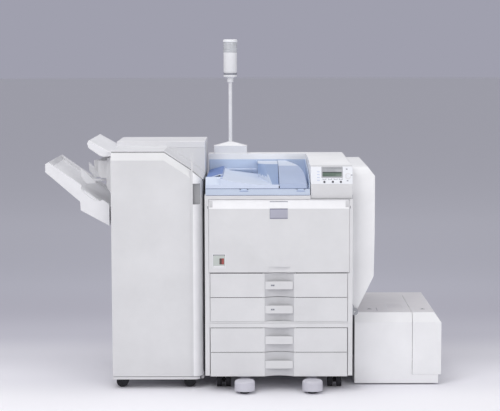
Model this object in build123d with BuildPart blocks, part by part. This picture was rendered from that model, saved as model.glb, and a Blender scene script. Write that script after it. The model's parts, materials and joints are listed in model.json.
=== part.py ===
# Laser printer with a two drawer paper bank, an output tray with a bridge unit, a duplex unit,
# a large side feeder, a finisher and an attention light, standing in one row.
# Places are measured from the front left corner of the printer's casing on the floor:
# x to the right, y to the back and z up. The part's own origin is the middle of the whole row.
import os
from math import atan2, cos, degrees, sin

from build123d import *

os.makedirs("parts", exist_ok=True)

# Row of machines
printer_width = 580
dock_gap = 8
finisher_width = 363
tray_overhang = 263
feeder_gap = 17
feeder_width = 348
stabilizer_reach = 60
row_back = 668

# Clearances
seam = 1.5
slide_gap = 0.3
pin_gap = 0.1

# Levels of the printer's front, from the floor up
bank_bottom = 61
bank_tray_height = 97.5
bank_strip_height = 25
engine_tray_height = 96
door_height = 291
band_height = 15
bridge_height = 27
top_level = 905

# Printer casing
front_thickness = 20
side_wall = 4
frame_wall = 3
frame_back = 628
cover_thickness = 8
bay_side = 18
mid_shelf = 4
inlet_inset = 80
inlet_z = 320
inlet_width = 48
inlet_height = 28

# Paper trays
tray_front_left = 20
tray_front_thickness = 24
tray_box_left = 28
tray_box_depth = 490
tray_box_height = 62
tray_floor_rise = 12
tray_wall = 3
tray_feed_width = 80
runner_width = 8
runner_height = 5
rail_height = 9
scoop_offset = 2
scoop_width = 116
scoop_depth = 19
handle_offset = 1
handle_width = 108
handle_thickness = 5
handle_height = 31
handle_rise = 32
fence_height = 45
fence_thickness = 4
side_fence_x = (200, 300)
side_fence_y = (100, 400)
end_fence_x = 60
end_fence_y = (220, 300)

# Front door
door_left = 16
door_right_gap = 14
door_width = printer_width - door_left - door_right_gap
door_toe = 3
door_thickness = 20
door_wall = 3.5
door_lean_height = 37
door_lean = 8
door_scoop_height = 25
door_pivot_y = 8
door_pivot_rise = 12
door_pin_radius = 3
door_pin_length = 8
grip_slot_width = 12
grip_slot_height = 30

# Inside the engine
inner_cover_y = 40
inner_cover_thickness = 4
bottle_radius = 52
bottle_x = 170
bottle_z = 630
bottle_length = 380
drum_radius = 34
drum_x = 385
drum_z = 565
drum_length = 400
laser_height = 58
laser_width = 320
laser_left = 60
laser_front = 110
laser_depth = 360
fuser_width = 88
fuser_height = 96
fuser_bottom = 640
fuser_front = 70
fuser_depth = 440

# Output tray, bridge unit and exit cover
blue_left = 4
tray_back = 548
lid_width = 120
rim_height = 15
rim_depth = 8
ledge_width = 66
ledge_top = 850
ledge_run = 20
tray_high = 838
tray_low = 812
exit_block_width = 84
exit_block_top = 875
exit_block_front = 356
exit_foot_back = 425
exit_foot_front = 60
lid_front_width = 106
lid_back_width = 30
lid_front_height = 19
lid_curve_y = 380
lid_curve_width = 78
lid_crease_y = 360
lid_crease_z = 868
lid_back_height = 877
bridge_path_y = (110, 450)
bridge_path_depth = 10
blue_wall = 3
blue_wall_top = 881
latch_width = 40
latch_depth = 6
latch_insets = (150, 36)
cover_pivot_y = 540
cover_pivot_z = 871
cover_pin_radius = 2
lug_width = 6
lid_lug_gap = 6
lid_back_gap = 4

# Control panel
panel_width = 163
panel_right_gap = 2
panel_bottom = 766
panel_lip = 824
panel_top = 891
panel_lean = 12
panel_undercut = 14
panel_depth = 60
display_inset = 44
display_width = 78
display_rise = 27
display_height = 38
display_thickness = 3
key_radius = 4
key_insets = (53, 86, 117)
key_rise = 4
key_length = 6
key_stand = 1.2
cursor_radius = 8
cursor_inset = 145
cursor_rise = 30

# Attention light
tower_x = 92.5
tower_y = 592
tower_base_width = 141
tower_base_depth = 72
tower_base_height = 33
tower_cone_height = 16
pole_radius = 7.8
pole_wall = 1.5
pole_top = 1207
collar_radius = 13.5
collar_height = 19
lamp_radius = 28.5
lamp_rim_height = 12
lamp_band_height = 12
lamp_body_height = 82
lens_height = 42
lens_ribs = 3
cap_radius = 30.5
cap_height = 13

# Feet and casters of the bank
foot_radius = 17.5
foot_height = 12
stabilizer_radius = 40
stabilizer_height = 40
stabilizer_insets = (155.5, 158)
arm_width = 38
arm_height = 8
arm_length = 130
caster_insets = (71, 66)
caster_front_y = 92
caster_back_y = 560
wheel_radius = 28
twin_width = 56
wheel_groove = 16
axle_radius = 4
fork_thickness = 12
caster_trail = 14
swivel_radius = 22
stem_radius = 5

# Duplex unit and bypass tray
duplex_gap = 1
duplex_width = 88.5
duplex_front = 60
duplex_back = 614
duplex_top = 885
duplex_shoulder_width = 27.5
duplex_shoulder_z = 850
duplex_taper_top = 452
duplex_foot_width = 19
duplex_wall = 4
duplex_lean = 20
duplex_lean_height = 35
duplex_pivot_inset = 10
duplex_pivot_z = 312
duplex_pin_radius = 4
duplex_rib_count = 7
bypass_bottom = 454
bypass_top = 619
bypass_front = 130
bypass_width = 414
bypass_thickness = 8
bypass_pin_radius = 2
bypass_pin_length = 6

# Large side feeder
feeder_front = 129
feeder_bottom = 6
feeder_top = 291
feeder_base_height = 35
feeder_base_inset = 11
feeder_wall = 3.5
feeder_chamfer_width = 27
feeder_chamfer_height = 38
feeder_front_chamfer = 22
feeder_cover_width = 117
feeder_cover_back = 593
feeder_pivot_inset = 6
feeder_pivot_rise = 4
feeder_pin_radius = 2
feeder_plate_rise = 14
feeder_plate_thickness = 3
feeder_slot_length = 198
feeder_slot_y = (330, 390)
dock_pin_radius = 6
dock_pin_length = 16
dock_pin_y = (230, 540)
dock_pin_z = 100

# Finisher
finisher_front = 55
finisher_bottom = 38
finisher_door_bottom = 50
finisher_door_thickness = 25
finisher_door_gap = 3
finisher_flat_top = 944
finisher_slope_x = 162
finisher_bend_x = 57
finisher_bend_z = 875
finisher_right_z = 834
finisher_edge_width = 46
finisher_edge_depth = 40
finisher_wall = 4
finisher_back_wall = 60
finisher_shelf_z = 500
finisher_shelf_thickness = 20
skirt_wall = 10
finisher_cover_front_top = 950
finisher_cover_back_top = 970
finisher_step_y = 340
finisher_chamfer_height = 30
finisher_groove = 1
finisher_pivot_inset = 5
finisher_grip_bottom = 739
finisher_grip_height = 82
finisher_grip_depth = 14
finisher_pin_radius = 3
finisher_caster_insets = (36, 57)
finisher_caster_front_y = 112
finisher_caster_back_y = 610
finisher_wheel_radius = 24
finisher_twin_width = 44
dock_bracket_y = (200, 480)
dock_bracket_z = 500
dock_bracket_size = 50
housing_reach = 24
housing_top = 922
housing_rise = 73
housing_taper = 44
housing_front = 130
housing_back = 600
guide_reach = 58
guide_top = 906
guide_rise = 28
guide_y = (150, 580)
side_guide_reach = 84
side_guide_y = (240, 246)
shift_front = 100
shift_width = 450
shift_root_gap = 11
shift_root_bottom = 650
shift_root_top = 735
shift_tip_top = 903
shift_tip_bottom = 864
shift_bend_reach = 126
shift_bend_z = 746
shift_step_z = 712
shift_wall = 12
shift_floor_drop = 15
lug_slot_width = 20
lug_slot_depth = 3
lug_centres = (170, 480)
proof_front = 100
proof_width = 460
proof_reach = 96
proof_rise = 42
fin_thickness = 14
fin_centres = (190, 500)
fin_reach = 108
fin_arm_height = 8
fin_slot_length = 70

# Derived places
left_reach = dock_gap + finisher_width + tray_overhang
right_reach = printer_width + feeder_gap + feeder_width
printer_left = (left_reach - right_reach) / 2
printer_front = (stabilizer_reach - row_back) / 2
tray_3_bottom = bank_bottom + bank_tray_height
strip_bottom = tray_3_bottom + bank_tray_height
strip_top = strip_bottom + bank_strip_height
split_level = strip_top - 6
tray_1_bottom = strip_top + engine_tray_height
door_bottom = tray_1_bottom + engine_tray_height
door_top = door_bottom + door_height
deck_level = door_top + band_height
cover_level = deck_level + bridge_height
frame_front = front_thickness + 2
scoop_centre = printer_width / 2 + scoop_offset
handle_centre = printer_width / 2 + handle_offset
panel_left = printer_width - panel_right_gap - panel_width
display_left = panel_left + display_inset
key_centres = [panel_left + inset for inset in key_insets]
cursor_x = panel_left + cursor_inset
blue_right = panel_left - 3
lid_seam_x = blue_right - lid_width
exit_block_left = lid_seam_x - exit_block_width
latch_centres = (blue_left + latch_insets[0], blue_right - latch_insets[1])
stabilizer_centres = (stabilizer_insets[0], printer_width - stabilizer_insets[1])
caster_centres = (caster_insets[0], printer_width - caster_insets[1])
duplex_left = printer_width + duplex_gap
duplex_right = duplex_left + duplex_width
duplex_shoulder_x = duplex_right - duplex_shoulder_width
duplex_foot_x = duplex_left + duplex_foot_width
duplex_pivot_x = duplex_left + duplex_pivot_inset
casing_back = frame_back + cover_thickness
inlet_x = printer_width - inlet_inset
bank_floor = bank_bottom + 3
finisher_left = -dock_gap - finisher_width
finisher_right = -dock_gap
feeder_left = printer_width + feeder_gap
feeder_right = feeder_left + feeder_width
lamp_bottom = pole_top + collar_height
housing_low = shift_root_top + housing_rise
housing_bottom = housing_low - housing_taper
lens_bottom = lamp_bottom + lamp_rim_height + lamp_band_height + lamp_body_height


def level(z):
    """Level plane at height z, over the printer's front left corner."""
    return Plane(origin=(printer_left, printer_front, z))


def upright(y):
    """Plane parallel to the front, at depth y. Positive amounts go forward from it."""
    return Plane(origin=(printer_left, printer_front + y, 0), x_dir=(1, 0, 0), z_dir=(0, -1, 0))


def sideways(x):
    """Plane parallel to the sides, at x. Positive amounts go to the right from it."""
    return Plane(origin=(printer_left + x, printer_front, 0), x_dir=(0, 1, 0), z_dir=(1, 0, 0))


def block(x, y, z, mode=Mode.ADD):
    """Box between two x, two y and two z values."""
    with Locations((printer_left + sum(x) / 2, printer_front + sum(y) / 2, sum(z) / 2)):
        Box(x[1] - x[0], y[1] - y[0], z[1] - z[0], mode=mode)


def prism(plane, points, depth, mode=Mode.ADD):
    """Straight sided outline on a plane, pushed out along the plane's normal."""
    with BuildSketch(plane, mode=Mode.PRIVATE) as outline:
        with BuildLine():
            Polyline(*points, close=True)
        make_face()
    extrude(outline.sketch, amount=depth, mode=mode)


def rod(plane, centre, radius, length, mode=Mode.ADD):
    """Round pin, bore or boss on a plane."""
    with BuildSketch(plane, mode=Mode.PRIVATE) as disc:
        with Locations(centre):
            Circle(radius)
    extrude(disc.sketch, amount=length, mode=mode)


def save(builder, name):
    """Label one finished piece and write it out."""
    builder.part.label = name
    export_step(builder.part, f"parts/{name}.step")


# Paper bank frame with two drawer bays, the strip between the bank and the engine, and tray rails
def tray_rails(bottom, wall_x):
    """Two rails that carry the runners of the tray whose front starts at bottom."""
    top = bottom + tray_floor_rise + tray_box_height - runner_height - slide_gap
    reach = tray_box_left - slide_gap
    for x in ((wall_x, reach), (printer_width - reach, printer_width - wall_x)):
        block(x, (frame_front + 10, tray_front_thickness + tray_box_depth + 20), (top - rail_height, top))


with BuildPart() as bank_frame:
    block((0, printer_width), (4, frame_back - 8), (bank_floor, split_level))
    bay_back = frame_back - 28
    for low, high in ((bank_floor + 3, tray_3_bottom - 1.5), (tray_3_bottom + 1.5, strip_bottom)):
        block((bay_side, printer_width - bay_side), (0, bay_back), (low, high), Mode.SUBTRACT)
    front_x = (tray_front_left - seam, printer_width - tray_front_left + seam)
    front_y = (0, tray_front_thickness + 2)
    block(front_x, front_y, (0, strip_bottom), Mode.SUBTRACT)
    for bottom in (bank_bottom, tray_3_bottom):
        tray_rails(bottom, bay_side)
    for y in dock_pin_y:
        rod(sideways(printer_width), (y, dock_pin_z), dock_pin_radius + pin_gap, -bay_side, Mode.SUBTRACT)
    block((tray_front_left, printer_width - tray_front_left), (0, 5), (strip_bottom + 1, split_level - 1))
    for x in caster_centres:
        rod(level(bank_floor), (x, caster_front_y), stem_radius + pin_gap, 3, Mode.SUBTRACT)
    fillet(bank_frame.part.edges().filter_by(Axis.Z).group_by(Axis.Y)[-1], 6)
save(bank_frame, "bank_frame")

# Engine frame: welded box with a bay for two trays and a bay behind the door
with BuildPart() as engine_frame:
    block((side_wall, printer_width), (frame_front, frame_back), (split_level, deck_level))
    inner = (side_wall + frame_wall, printer_width - side_wall - frame_wall)
    block(inner, (0, frame_back - frame_wall), (strip_top, door_bottom), Mode.SUBTRACT)
    block(inner, (0, frame_back - frame_wall), (door_bottom + mid_shelf, door_top), Mode.SUBTRACT)
    block(inner, (0, frame_front + 8), (door_bottom - 1, door_bottom + mid_shelf + 1), Mode.SUBTRACT)
    for bottom in (strip_top, tray_1_bottom):
        tray_rails(bottom, side_wall + frame_wall)
    for y in (duplex_front - 2, duplex_back + 16):
        with BuildSketch(upright(y)) as lug:
            with BuildLine():
                Polyline((printer_width, duplex_pivot_z - 14), (duplex_pivot_x, duplex_pivot_z - 14))
                ThreePointArc(
                    (duplex_pivot_x, duplex_pivot_z - 14),
                    (duplex_pivot_x + 14, duplex_pivot_z),
                    (duplex_pivot_x, duplex_pivot_z + 14),
                )
                Polyline(
                    (duplex_pivot_x, duplex_pivot_z + 14),
                    (printer_width, duplex_pivot_z + 40),
                    (printer_width, duplex_pivot_z - 14),
                )
            make_face()
            with Locations((duplex_pivot_x, duplex_pivot_z)):
                Circle(duplex_pin_radius + pin_gap, mode=Mode.SUBTRACT)
        extrude(amount=14)
save(engine_frame, "engine_frame")

# Left cover with louvres
with BuildPart() as left_cover:
    block((0, side_wall), (frame_front, frame_back), (split_level, deck_level))
    with BuildSketch(sideways(side_wall)):
        with Locations((frame_back - 130, deck_level - 120)):
            with GridLocations(0, 14, 1, 8):
                SlotOverall(140, 5)
    extrude(amount=-side_wall, mode=Mode.SUBTRACT)
save(left_cover, "left_cover")

# Rear cover with louvres and a cut-out for the power inlet
with BuildPart() as rear_cover:
    block((0, printer_width), (frame_back, casing_back), (split_level, deck_level))
    fillet(rear_cover.part.edges().filter_by(Axis.Z).group_by(Axis.Y)[-1], 5)
    with BuildSketch(upright(casing_back)):
        with Locations((printer_width / 2, deck_level - 110)):
            with GridLocations(200, 14, 2, 9):
                SlotOverall(150, 5)
        with Locations((inlet_x, inlet_z)):
            Rectangle(inlet_width, inlet_height)
    extrude(amount=cover_thickness, mode=Mode.SUBTRACT)
save(rear_cover, "rear_cover")

# Power inlet with three contact pins in its well
with BuildPart() as power_inlet:
    with BuildSketch(upright(casing_back)):
        with Locations((inlet_x, inlet_z)):
            Rectangle(inlet_width, inlet_height)
    extrude(amount=cover_thickness)
    with BuildSketch(upright(casing_back)):
        with Locations((inlet_x, inlet_z)):
            RectangleRounded(24, 17, 3)
    extrude(amount=6, mode=Mode.SUBTRACT)
    with BuildSketch(upright(casing_back - 1)):
        with Locations((inlet_x - 6, inlet_z - 2), (inlet_x, inlet_z + 3), (inlet_x + 6, inlet_z - 2)):
            Rectangle(2, 4)
    extrude(amount=5.5)
save(power_inlet, "power_inlet")

# Front frame: bezel round the door and the two engine trays
with BuildPart() as front_frame:
    block((0, printer_width), (2, frame_front), (split_level, deck_level))
    tray_opening = (tray_front_left - seam / 2, printer_width - tray_front_left + seam / 2)
    door_opening = (door_left - seam / 2, door_left + door_width + seam / 2)
    block(tray_opening, (0, frame_front), (strip_top, door_bottom + 1), Mode.SUBTRACT)
    block(door_opening, (0, frame_front), (door_bottom, door_top), Mode.SUBTRACT)
    block((panel_left - 1, printer_width), (0, frame_front), (door_top + 1, deck_level), Mode.SUBTRACT)
    pivot = (door_pivot_y, door_bottom + door_pivot_rise)
    bore_length = door_pin_length + 2
    rod(sideways(door_opening[0]), pivot, door_pin_radius + pin_gap, -bore_length, Mode.SUBTRACT)
    rod(sideways(door_opening[1]), pivot, door_pin_radius + pin_gap, bore_length, Mode.SUBTRACT)
    fillet(front_frame.part.edges().filter_by(Axis.Z).group_by(Axis.Y)[0].sort_by(Axis.X)[0], 4)
save(front_frame, "front_frame")

# Front door: shell with a leaning top band, grip slots, a scoop and two hinge pins
with BuildPart() as front_door:
    low = door_bottom + seam
    high = door_top - seam
    prism(
        sideways(door_left),
        [
            (0, low + door_toe),
            (door_toe, low),
            (door_thickness, low),
            (door_thickness, high),
            (door_lean, high),
            (0, door_top - door_lean_height),
        ],
        door_width,
    )
    block(
        (door_left + door_wall, door_left + door_width - door_wall),
        (door_wall + door_lean, door_thickness),
        (low + 16, high - door_wall),
        Mode.SUBTRACT,
    )
    with BuildSketch(level(door_bottom)):
        with Locations((scoop_centre, -18)):
            Ellipse(scoop_width / 2, scoop_depth + 9)
    extrude(amount=door_scoop_height, mode=Mode.SUBTRACT)
    for x in (door_left + 3, door_left + door_width - 3 - grip_slot_width):
        slot_top = door_top - seam
        block((x, x + grip_slot_width), (0, 7), (slot_top - grip_slot_height, slot_top), Mode.SUBTRACT)
    pivot = (door_pivot_y, door_bottom + door_pivot_rise)
    rod(sideways(door_left), pivot, door_pin_radius, -door_pin_length)
    rod(sideways(door_left + door_width), pivot, door_pin_radius, door_pin_length)
save(front_door, "front_door")

# Inner cover behind the door, with round openings for the toner bottle and the drum
with BuildPart() as inner_cover:
    block(
        (side_wall + frame_wall, printer_width - side_wall - frame_wall),
        (inner_cover_y, inner_cover_y + inner_cover_thickness),
        (door_bottom + mid_shelf, door_top),
    )
    for centre, radius in (((bottle_x, bottle_z), bottle_radius), ((drum_x, drum_z), drum_radius)):
        back = upright(inner_cover_y + inner_cover_thickness)
        rod(back, centre, radius + 8, inner_cover_thickness + 4)
        rod(back, centre, radius + slide_gap, inner_cover_thickness + 4, Mode.SUBTRACT)
save(inner_cover, "inner_cover")

# Toner bottle: turned body with feed grooves and a finger grip across its cap
with BuildPart() as toner_bottle:
    bottle_front = inner_cover_y - 10
    rod(upright(bottle_front + bottle_length), (bottle_x, bottle_z), bottle_radius, bottle_length)
    for number in range(6):
        groove_y = inner_cover_y + 40 + 50 * number
        with BuildSketch(upright(groove_y + 8)):
            with Locations((bottle_x, bottle_z)):
                Circle(bottle_radius)
                Circle(bottle_radius - 4, mode=Mode.SUBTRACT)
        extrude(amount=8, mode=Mode.SUBTRACT)
    with BuildSketch(upright(bottle_front + 8)):
        with Locations((bottle_x, bottle_z)):
            Circle(bottle_radius - 7)
            Rectangle(12, 2 * bottle_radius, mode=Mode.SUBTRACT)
    extrude(amount=8, mode=Mode.SUBTRACT)
save(toner_bottle, "toner_bottle")

# Drum: photoconductor between its end flange and its drive gear
with BuildPart() as drum:
    drum_front = inner_cover_y - 10
    rod(upright(drum_front + 22), (drum_x, drum_z), drum_radius, 22)
    rod(upright(drum_front + drum_length), (drum_x, drum_z), drum_radius - 4, drum_length)
    rod(upright(drum_front + drum_length + 12), (drum_x, drum_z), drum_radius - 1, 12)
    with BuildSketch(upright(drum_front + drum_length + 12)):
        with Locations((drum_x, drum_z)):
            with PolarLocations(drum_radius - 1, 24):
                Rectangle(4, 4)
    extrude(amount=12, mode=Mode.SUBTRACT)
    with BuildSketch(upright(drum_front + 6)):
        with Locations((drum_x, drum_z)):
            Circle(drum_radius - 6)
            Rectangle(8, 2 * drum_radius, mode=Mode.SUBTRACT)
    extrude(amount=6, mode=Mode.SUBTRACT)
save(drum, "drum")

# Laser unit under the deck: box with a slanted beam window
with BuildPart() as laser_unit:
    low = door_top - laser_height
    prism(
        upright(laser_front + laser_depth),
        [
            (laser_left, door_top),
            (laser_left, low + 20),
            (laser_left + 30, low),
            (laser_left + laser_width - 60, low),
            (laser_left + laser_width, low + 34),
            (laser_left + laser_width, door_top),
        ],
        laser_depth,
    )
save(laser_unit, "laser_unit")

# Fuser unit on the right wall: rounded housing round two rollers
with BuildPart() as fuser_unit:
    right = printer_width - side_wall - frame_wall
    fuser_y = (fuser_front, fuser_front + fuser_depth)
    block((right - fuser_width, right), fuser_y, (fuser_bottom, fuser_bottom + fuser_height))
    fillet(fuser_unit.part.edges().filter_by(Axis.Y).group_by(Axis.X)[0], 16)
    roller_x = right - fuser_width / 2
    for z in (fuser_bottom + 24, fuser_bottom + fuser_height - 24):
        rod(upright(fuser_front), (roller_x, z), 9, 10)
save(fuser_unit, "fuser_unit")

# Top cover: rear strip and the right shoulder behind the control panel
with BuildPart() as top_cover:
    shoulder = printer_width - 2
    block((0, blue_right + 2), (tray_back + blue_wall + 1, casing_back), (deck_level, top_level))
    block((4, blue_right - 2), (tray_back + 8, frame_back), (deck_level, top_level - 4), Mode.SUBTRACT)
    prism(
        sideways(blue_right + 2),
        [
            (panel_depth, deck_level),
            (panel_depth, panel_top + 2),
            (150, panel_top + 4),
            (190, top_level - 4),
            (casing_back - 40, top_level),
            (casing_back, top_level),
            (casing_back, deck_level),
        ],
        shoulder - blue_right - 2,
    )
    hollow_z = (deck_level, panel_top - 4)
    block((blue_right + 6, shoulder - 4), (panel_depth + 4, frame_back), hollow_z, Mode.SUBTRACT)
    chamfer(top_cover.part.edges().filter_by(Axis.Y).sort_by(Axis.X)[-4:].sort_by(Axis.Z)[-1], 8)
save(top_cover, "top_cover")

# Output tray walls: blue rear wall and right wall with two hinge lugs
with BuildPart() as output_tray:
    block((blue_left, blue_right), (tray_back, tray_back + blue_wall), (cover_level, blue_wall_top))
    prism(
        sideways(blue_right - blue_wall),
        [
            (2, cover_level),
            (2, cover_level + lid_front_height),
            (180, lid_crease_z - 12),
            (tray_back, blue_wall_top),
            (tray_back, cover_level),
        ],
        blue_wall,
    )
    for x in (exit_block_left - 1 - lug_width, lid_seam_x + lid_back_width + lid_lug_gap):
        block((x, x + lug_width), (cover_pivot_y - 5, tray_back), (cover_pivot_z - 5, cover_pivot_z + 5))
        pivot = (cover_pivot_y, cover_pivot_z)
        rod(sideways(x), pivot, cover_pin_radius + pin_gap, lug_width, Mode.SUBTRACT)
save(output_tray, "output_tray")

# Bridge unit: base with the paper path across its top and two latch dips in its front
with BuildPart() as bridge_unit:
    block((blue_left, blue_right), (2, tray_back + blue_wall), (deck_level, cover_level - 0.5))
    path_z = (cover_level - bridge_path_depth, cover_level)
    block((blue_left, blue_right - 40), bridge_path_y, path_z, Mode.SUBTRACT)
    for x in latch_centres:
        with BuildSketch(upright(12)):
            with Locations((x, cover_level)):
                Ellipse(latch_width / 2, latch_depth)
        extrude(amount=12, mode=Mode.SUBTRACT)
save(bridge_unit, "bridge_unit")

# Bridge cover: the tray floor, with the front rim, the left ledge, the finisher slot and the exit block
with BuildPart() as bridge_cover:
    right = lid_seam_x - 1
    back = tray_back - lid_back_gap
    block((blue_left, right), (2, 2 + rim_depth), (cover_level, cover_level + rim_height))
    wall_x = blue_left + ledge_width
    prism(
        upright(back),
        [
            (blue_left, cover_level),
            (right, cover_level),
            (right, tray_low),
            (right - 30, tray_low + 1),
            (wall_x + 25, tray_high - 2),
            (wall_x, tray_high + 8),
            (wall_x - 8, tray_high + 8),
            (wall_x - 8, tray_high - 18),
            (blue_left, tray_high - 18),
        ],
        back - 2,
    )
    prism(
        sideways(blue_left),
        [
            (2 + rim_depth, cover_level),
            (2 + rim_depth, cover_level + rim_height),
            (2 + rim_depth + ledge_run, ledge_top),
            (2 + rim_depth + ledge_run + 12, ledge_top),
            (2 + rim_depth + ledge_run + 12, cover_level),
        ],
        ledge_width,
    )
    prism(
        upright(back - 20),
        [
            (blue_left, tray_high - 4),
            (blue_left, tray_high),
            (wall_x - 10, ledge_top + 4),
            (wall_x - 2, ledge_top + 4),
            (wall_x - 2, tray_high),
            (wall_x - 8, tray_high),
            (wall_x - 10, ledge_top),
        ],
        back - 20 - 120,
    )
    with BuildSketch(level(cover_level)):
        with BuildLine():
            Polyline(
                (exit_block_left, back),
                (exit_block_left, exit_foot_back),
                (right - 22, exit_foot_front),
                (right, exit_foot_front),
                (right, back),
                close=True,
            )
        make_face()
    with BuildSketch(level(exit_block_top)):
        with BuildLine():
            Polyline(
                (exit_block_left, back),
                (exit_block_left, exit_block_front + 40),
                (exit_block_left + 30, exit_block_front),
                (right, exit_block_front),
                (right, back),
                close=True,
            )
        make_face()
    loft(ruled=True)
    pivot = (cover_pivot_y, cover_pivot_z)
    rod(sideways(exit_block_left), pivot, cover_pin_radius, -lug_width)
save(bridge_cover, "bridge_cover")

# Exit cover: wedge lid over the engine's exit, with a curved right edge
with BuildPart() as exit_cover:
    left = lid_seam_x + 1
    back = tray_back - lid_back_gap
    with BuildSketch(level(cover_level)):
        with BuildLine():
            Polyline((left, back), (left, 2), (left + lid_front_width, 2), (left + lid_front_width - 2, 120))
            ThreePointArc(
                (left + lid_front_width - 2, 120),
                (left + lid_curve_width, lid_curve_y),
                (left + lid_back_width, back),
            )
            Line((left + lid_back_width, back), (left, back))
        make_face()
    extrude(amount=lid_back_height - cover_level)
    prism(
        sideways(left),
        [
            (0, cover_level + lid_front_height),
            (12, cover_level + lid_front_height),
            (lid_crease_y, lid_crease_z),
            (back, lid_back_height),
            (back, lid_back_height + 1),
            (0, lid_back_height + 1),
        ],
        lid_front_width,
        Mode.SUBTRACT,
    )
    pivot = (cover_pivot_y, cover_pivot_z)
    rod(sideways(left + lid_back_width), pivot, cover_pin_radius, lug_width + lid_lug_gap - 1)
save(exit_cover, "exit_cover")

# Control panel: leaning face over an undercut, with wells for the display and the keys
panel_tilt = atan2(panel_lean, panel_top - panel_lip)


def panel_face(depth=0):
    """Plane along the leaning face, a given depth below it."""
    normal = Vector(0, -cos(panel_tilt), sin(panel_tilt))
    corner = Vector(printer_left, printer_front, panel_lip)
    return Plane(origin=corner - normal * depth, x_dir=(1, 0, 0), z_dir=normal)


display_centre = (display_left + display_width / 2, display_rise + display_height / 2)
key_places = [(x, key_rise + key_radius) for x in key_centres]
with BuildPart() as control_panel:
    prism(
        sideways(panel_left),
        [
            (panel_undercut, panel_bottom),
            (0, panel_lip),
            (panel_lean, panel_top),
            (panel_depth, panel_top + 2),
            (panel_depth, panel_bottom + 14),
            (frame_front, panel_bottom + 14),
            (frame_front, panel_bottom),
        ],
        printer_width - 2 - panel_left,
    )
    with BuildSketch(panel_face(display_thickness)):
        with Locations(display_centre):
            Rectangle(display_width, display_height)
    extrude(amount=display_thickness, mode=Mode.SUBTRACT)
    with BuildSketch(panel_face(key_length)):
        with Locations(*key_places):
            Circle(key_radius + slide_gap)
        with Locations((cursor_x, cursor_rise)):
            Circle(cursor_radius + slide_gap)
    extrude(amount=key_length, mode=Mode.SUBTRACT)
save(control_panel, "control_panel")

# Display module in its well
with BuildPart() as display:
    with BuildSketch(panel_face(display_thickness)):
        with Locations(display_centre):
            Rectangle(display_width, display_height)
    extrude(amount=display_thickness - 0.6)
save(display, "display")

# Three round keys and the cursor key
for key_name, place in zip(("key_left", "key_middle", "key_right"), key_places):
    with BuildPart() as key:
        with BuildSketch(panel_face(key_length - 1.5)):
            with Locations(place):
                Circle(key_radius)
        extrude(amount=key_length - 1.5 + key_stand)
        fillet(key.part.edges().group_by(Axis.Y)[0], 0.6)
    save(key, key_name)

with BuildPart() as cursor_key:
    with BuildSketch(panel_face(key_length - 1.5)):
        with Locations((cursor_x, cursor_rise)):
            Circle(cursor_radius)
    extrude(amount=key_length - 1.5 + key_stand)
    with BuildSketch(panel_face()):
        with Locations((cursor_x, cursor_rise)):
            Circle(cursor_radius / 3)
    extrude(amount=key_stand, mode=Mode.SUBTRACT)
save(cursor_key, "cursor_key")

# Attention light: hipped base, tube, lamp and ribbed lens
tower_place = (tower_x, tower_y)
with BuildPart() as tower_base:
    with BuildSketch(level(top_level)):
        with Locations(tower_place):
            RectangleRounded(tower_base_width, tower_base_depth, 6)
    extrude(amount=tower_base_height)
    with BuildSketch(level(top_level + tower_base_height)):
        with Locations(tower_place):
            RectangleRounded(tower_base_width - 8, tower_base_depth - 8, 6)
    with BuildSketch(level(top_level + tower_base_height + tower_cone_height)):
        with Locations(tower_place):
            RectangleRounded(2 * pole_radius + 6, 2 * pole_radius + 6, 6)
    loft()
    pole_bottom = top_level + tower_base_height
    rod(level(pole_bottom), tower_place, pole_radius, tower_cone_height, Mode.SUBTRACT)
save(tower_base, "tower_base")

with BuildPart() as tower_pole:
    with BuildSketch(level(top_level + tower_base_height)):
        with Locations(tower_place):
            Circle(pole_radius)
            Circle(pole_radius - pole_wall, mode=Mode.SUBTRACT)
    extrude(amount=pole_top - top_level - tower_base_height)
save(tower_pole, "tower_pole")


def turned(points):
    """Body turned about the light's upright axis, from its outline in radius and height."""
    plane = Plane(
        origin=(printer_left + tower_x, printer_front + tower_y, 0), x_dir=(1, 0, 0), z_dir=(0, -1, 0)
    )
    with BuildSketch(plane, mode=Mode.PRIVATE) as outline:
        with BuildLine():
            Polyline(*points, close=True)
        make_face()
    revolve(outline.sketch, axis=Axis(plane.origin, (0, 0, 1)))


with BuildPart() as tower_light:
    band_bottom = lamp_bottom + lamp_rim_height
    body_bottom = band_bottom + lamp_band_height
    turned(
        [
            (0, pole_top),
            (collar_radius, pole_top),
            (collar_radius, lamp_bottom),
            (lamp_radius, lamp_bottom + 4),
            (lamp_radius, band_bottom),
            (lamp_radius - 2, band_bottom),
            (lamp_radius - 2, body_bottom),
            (lamp_radius, body_bottom),
            (lamp_radius, lens_bottom),
            (0, lens_bottom),
        ]
    )
save(tower_light, "tower_light")

with BuildPart() as tower_lens:
    pitch = lens_height / lens_ribs
    outline = [(0, lens_bottom)]
    for number in range(lens_ribs):
        rib_bottom = lens_bottom + number * pitch
        outline.append((lamp_radius - 3, rib_bottom))
        outline.append((lamp_radius, rib_bottom + pitch / 3))
        outline.append((lamp_radius, rib_bottom + 2 * pitch / 3))
        outline.append((lamp_radius - 3, rib_bottom + pitch))
    cap_bottom = lens_bottom + lens_height
    outline.append((cap_radius, cap_bottom))
    outline.append((cap_radius, cap_bottom + cap_height - 3))
    outline.append((cap_radius - 5, cap_bottom + cap_height))
    outline.append((0, cap_bottom + cap_height))
    turned([point for index, point in enumerate(outline) if index == 0 or point != outline[index - 1]])
save(tower_lens, "tower_lens")


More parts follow.
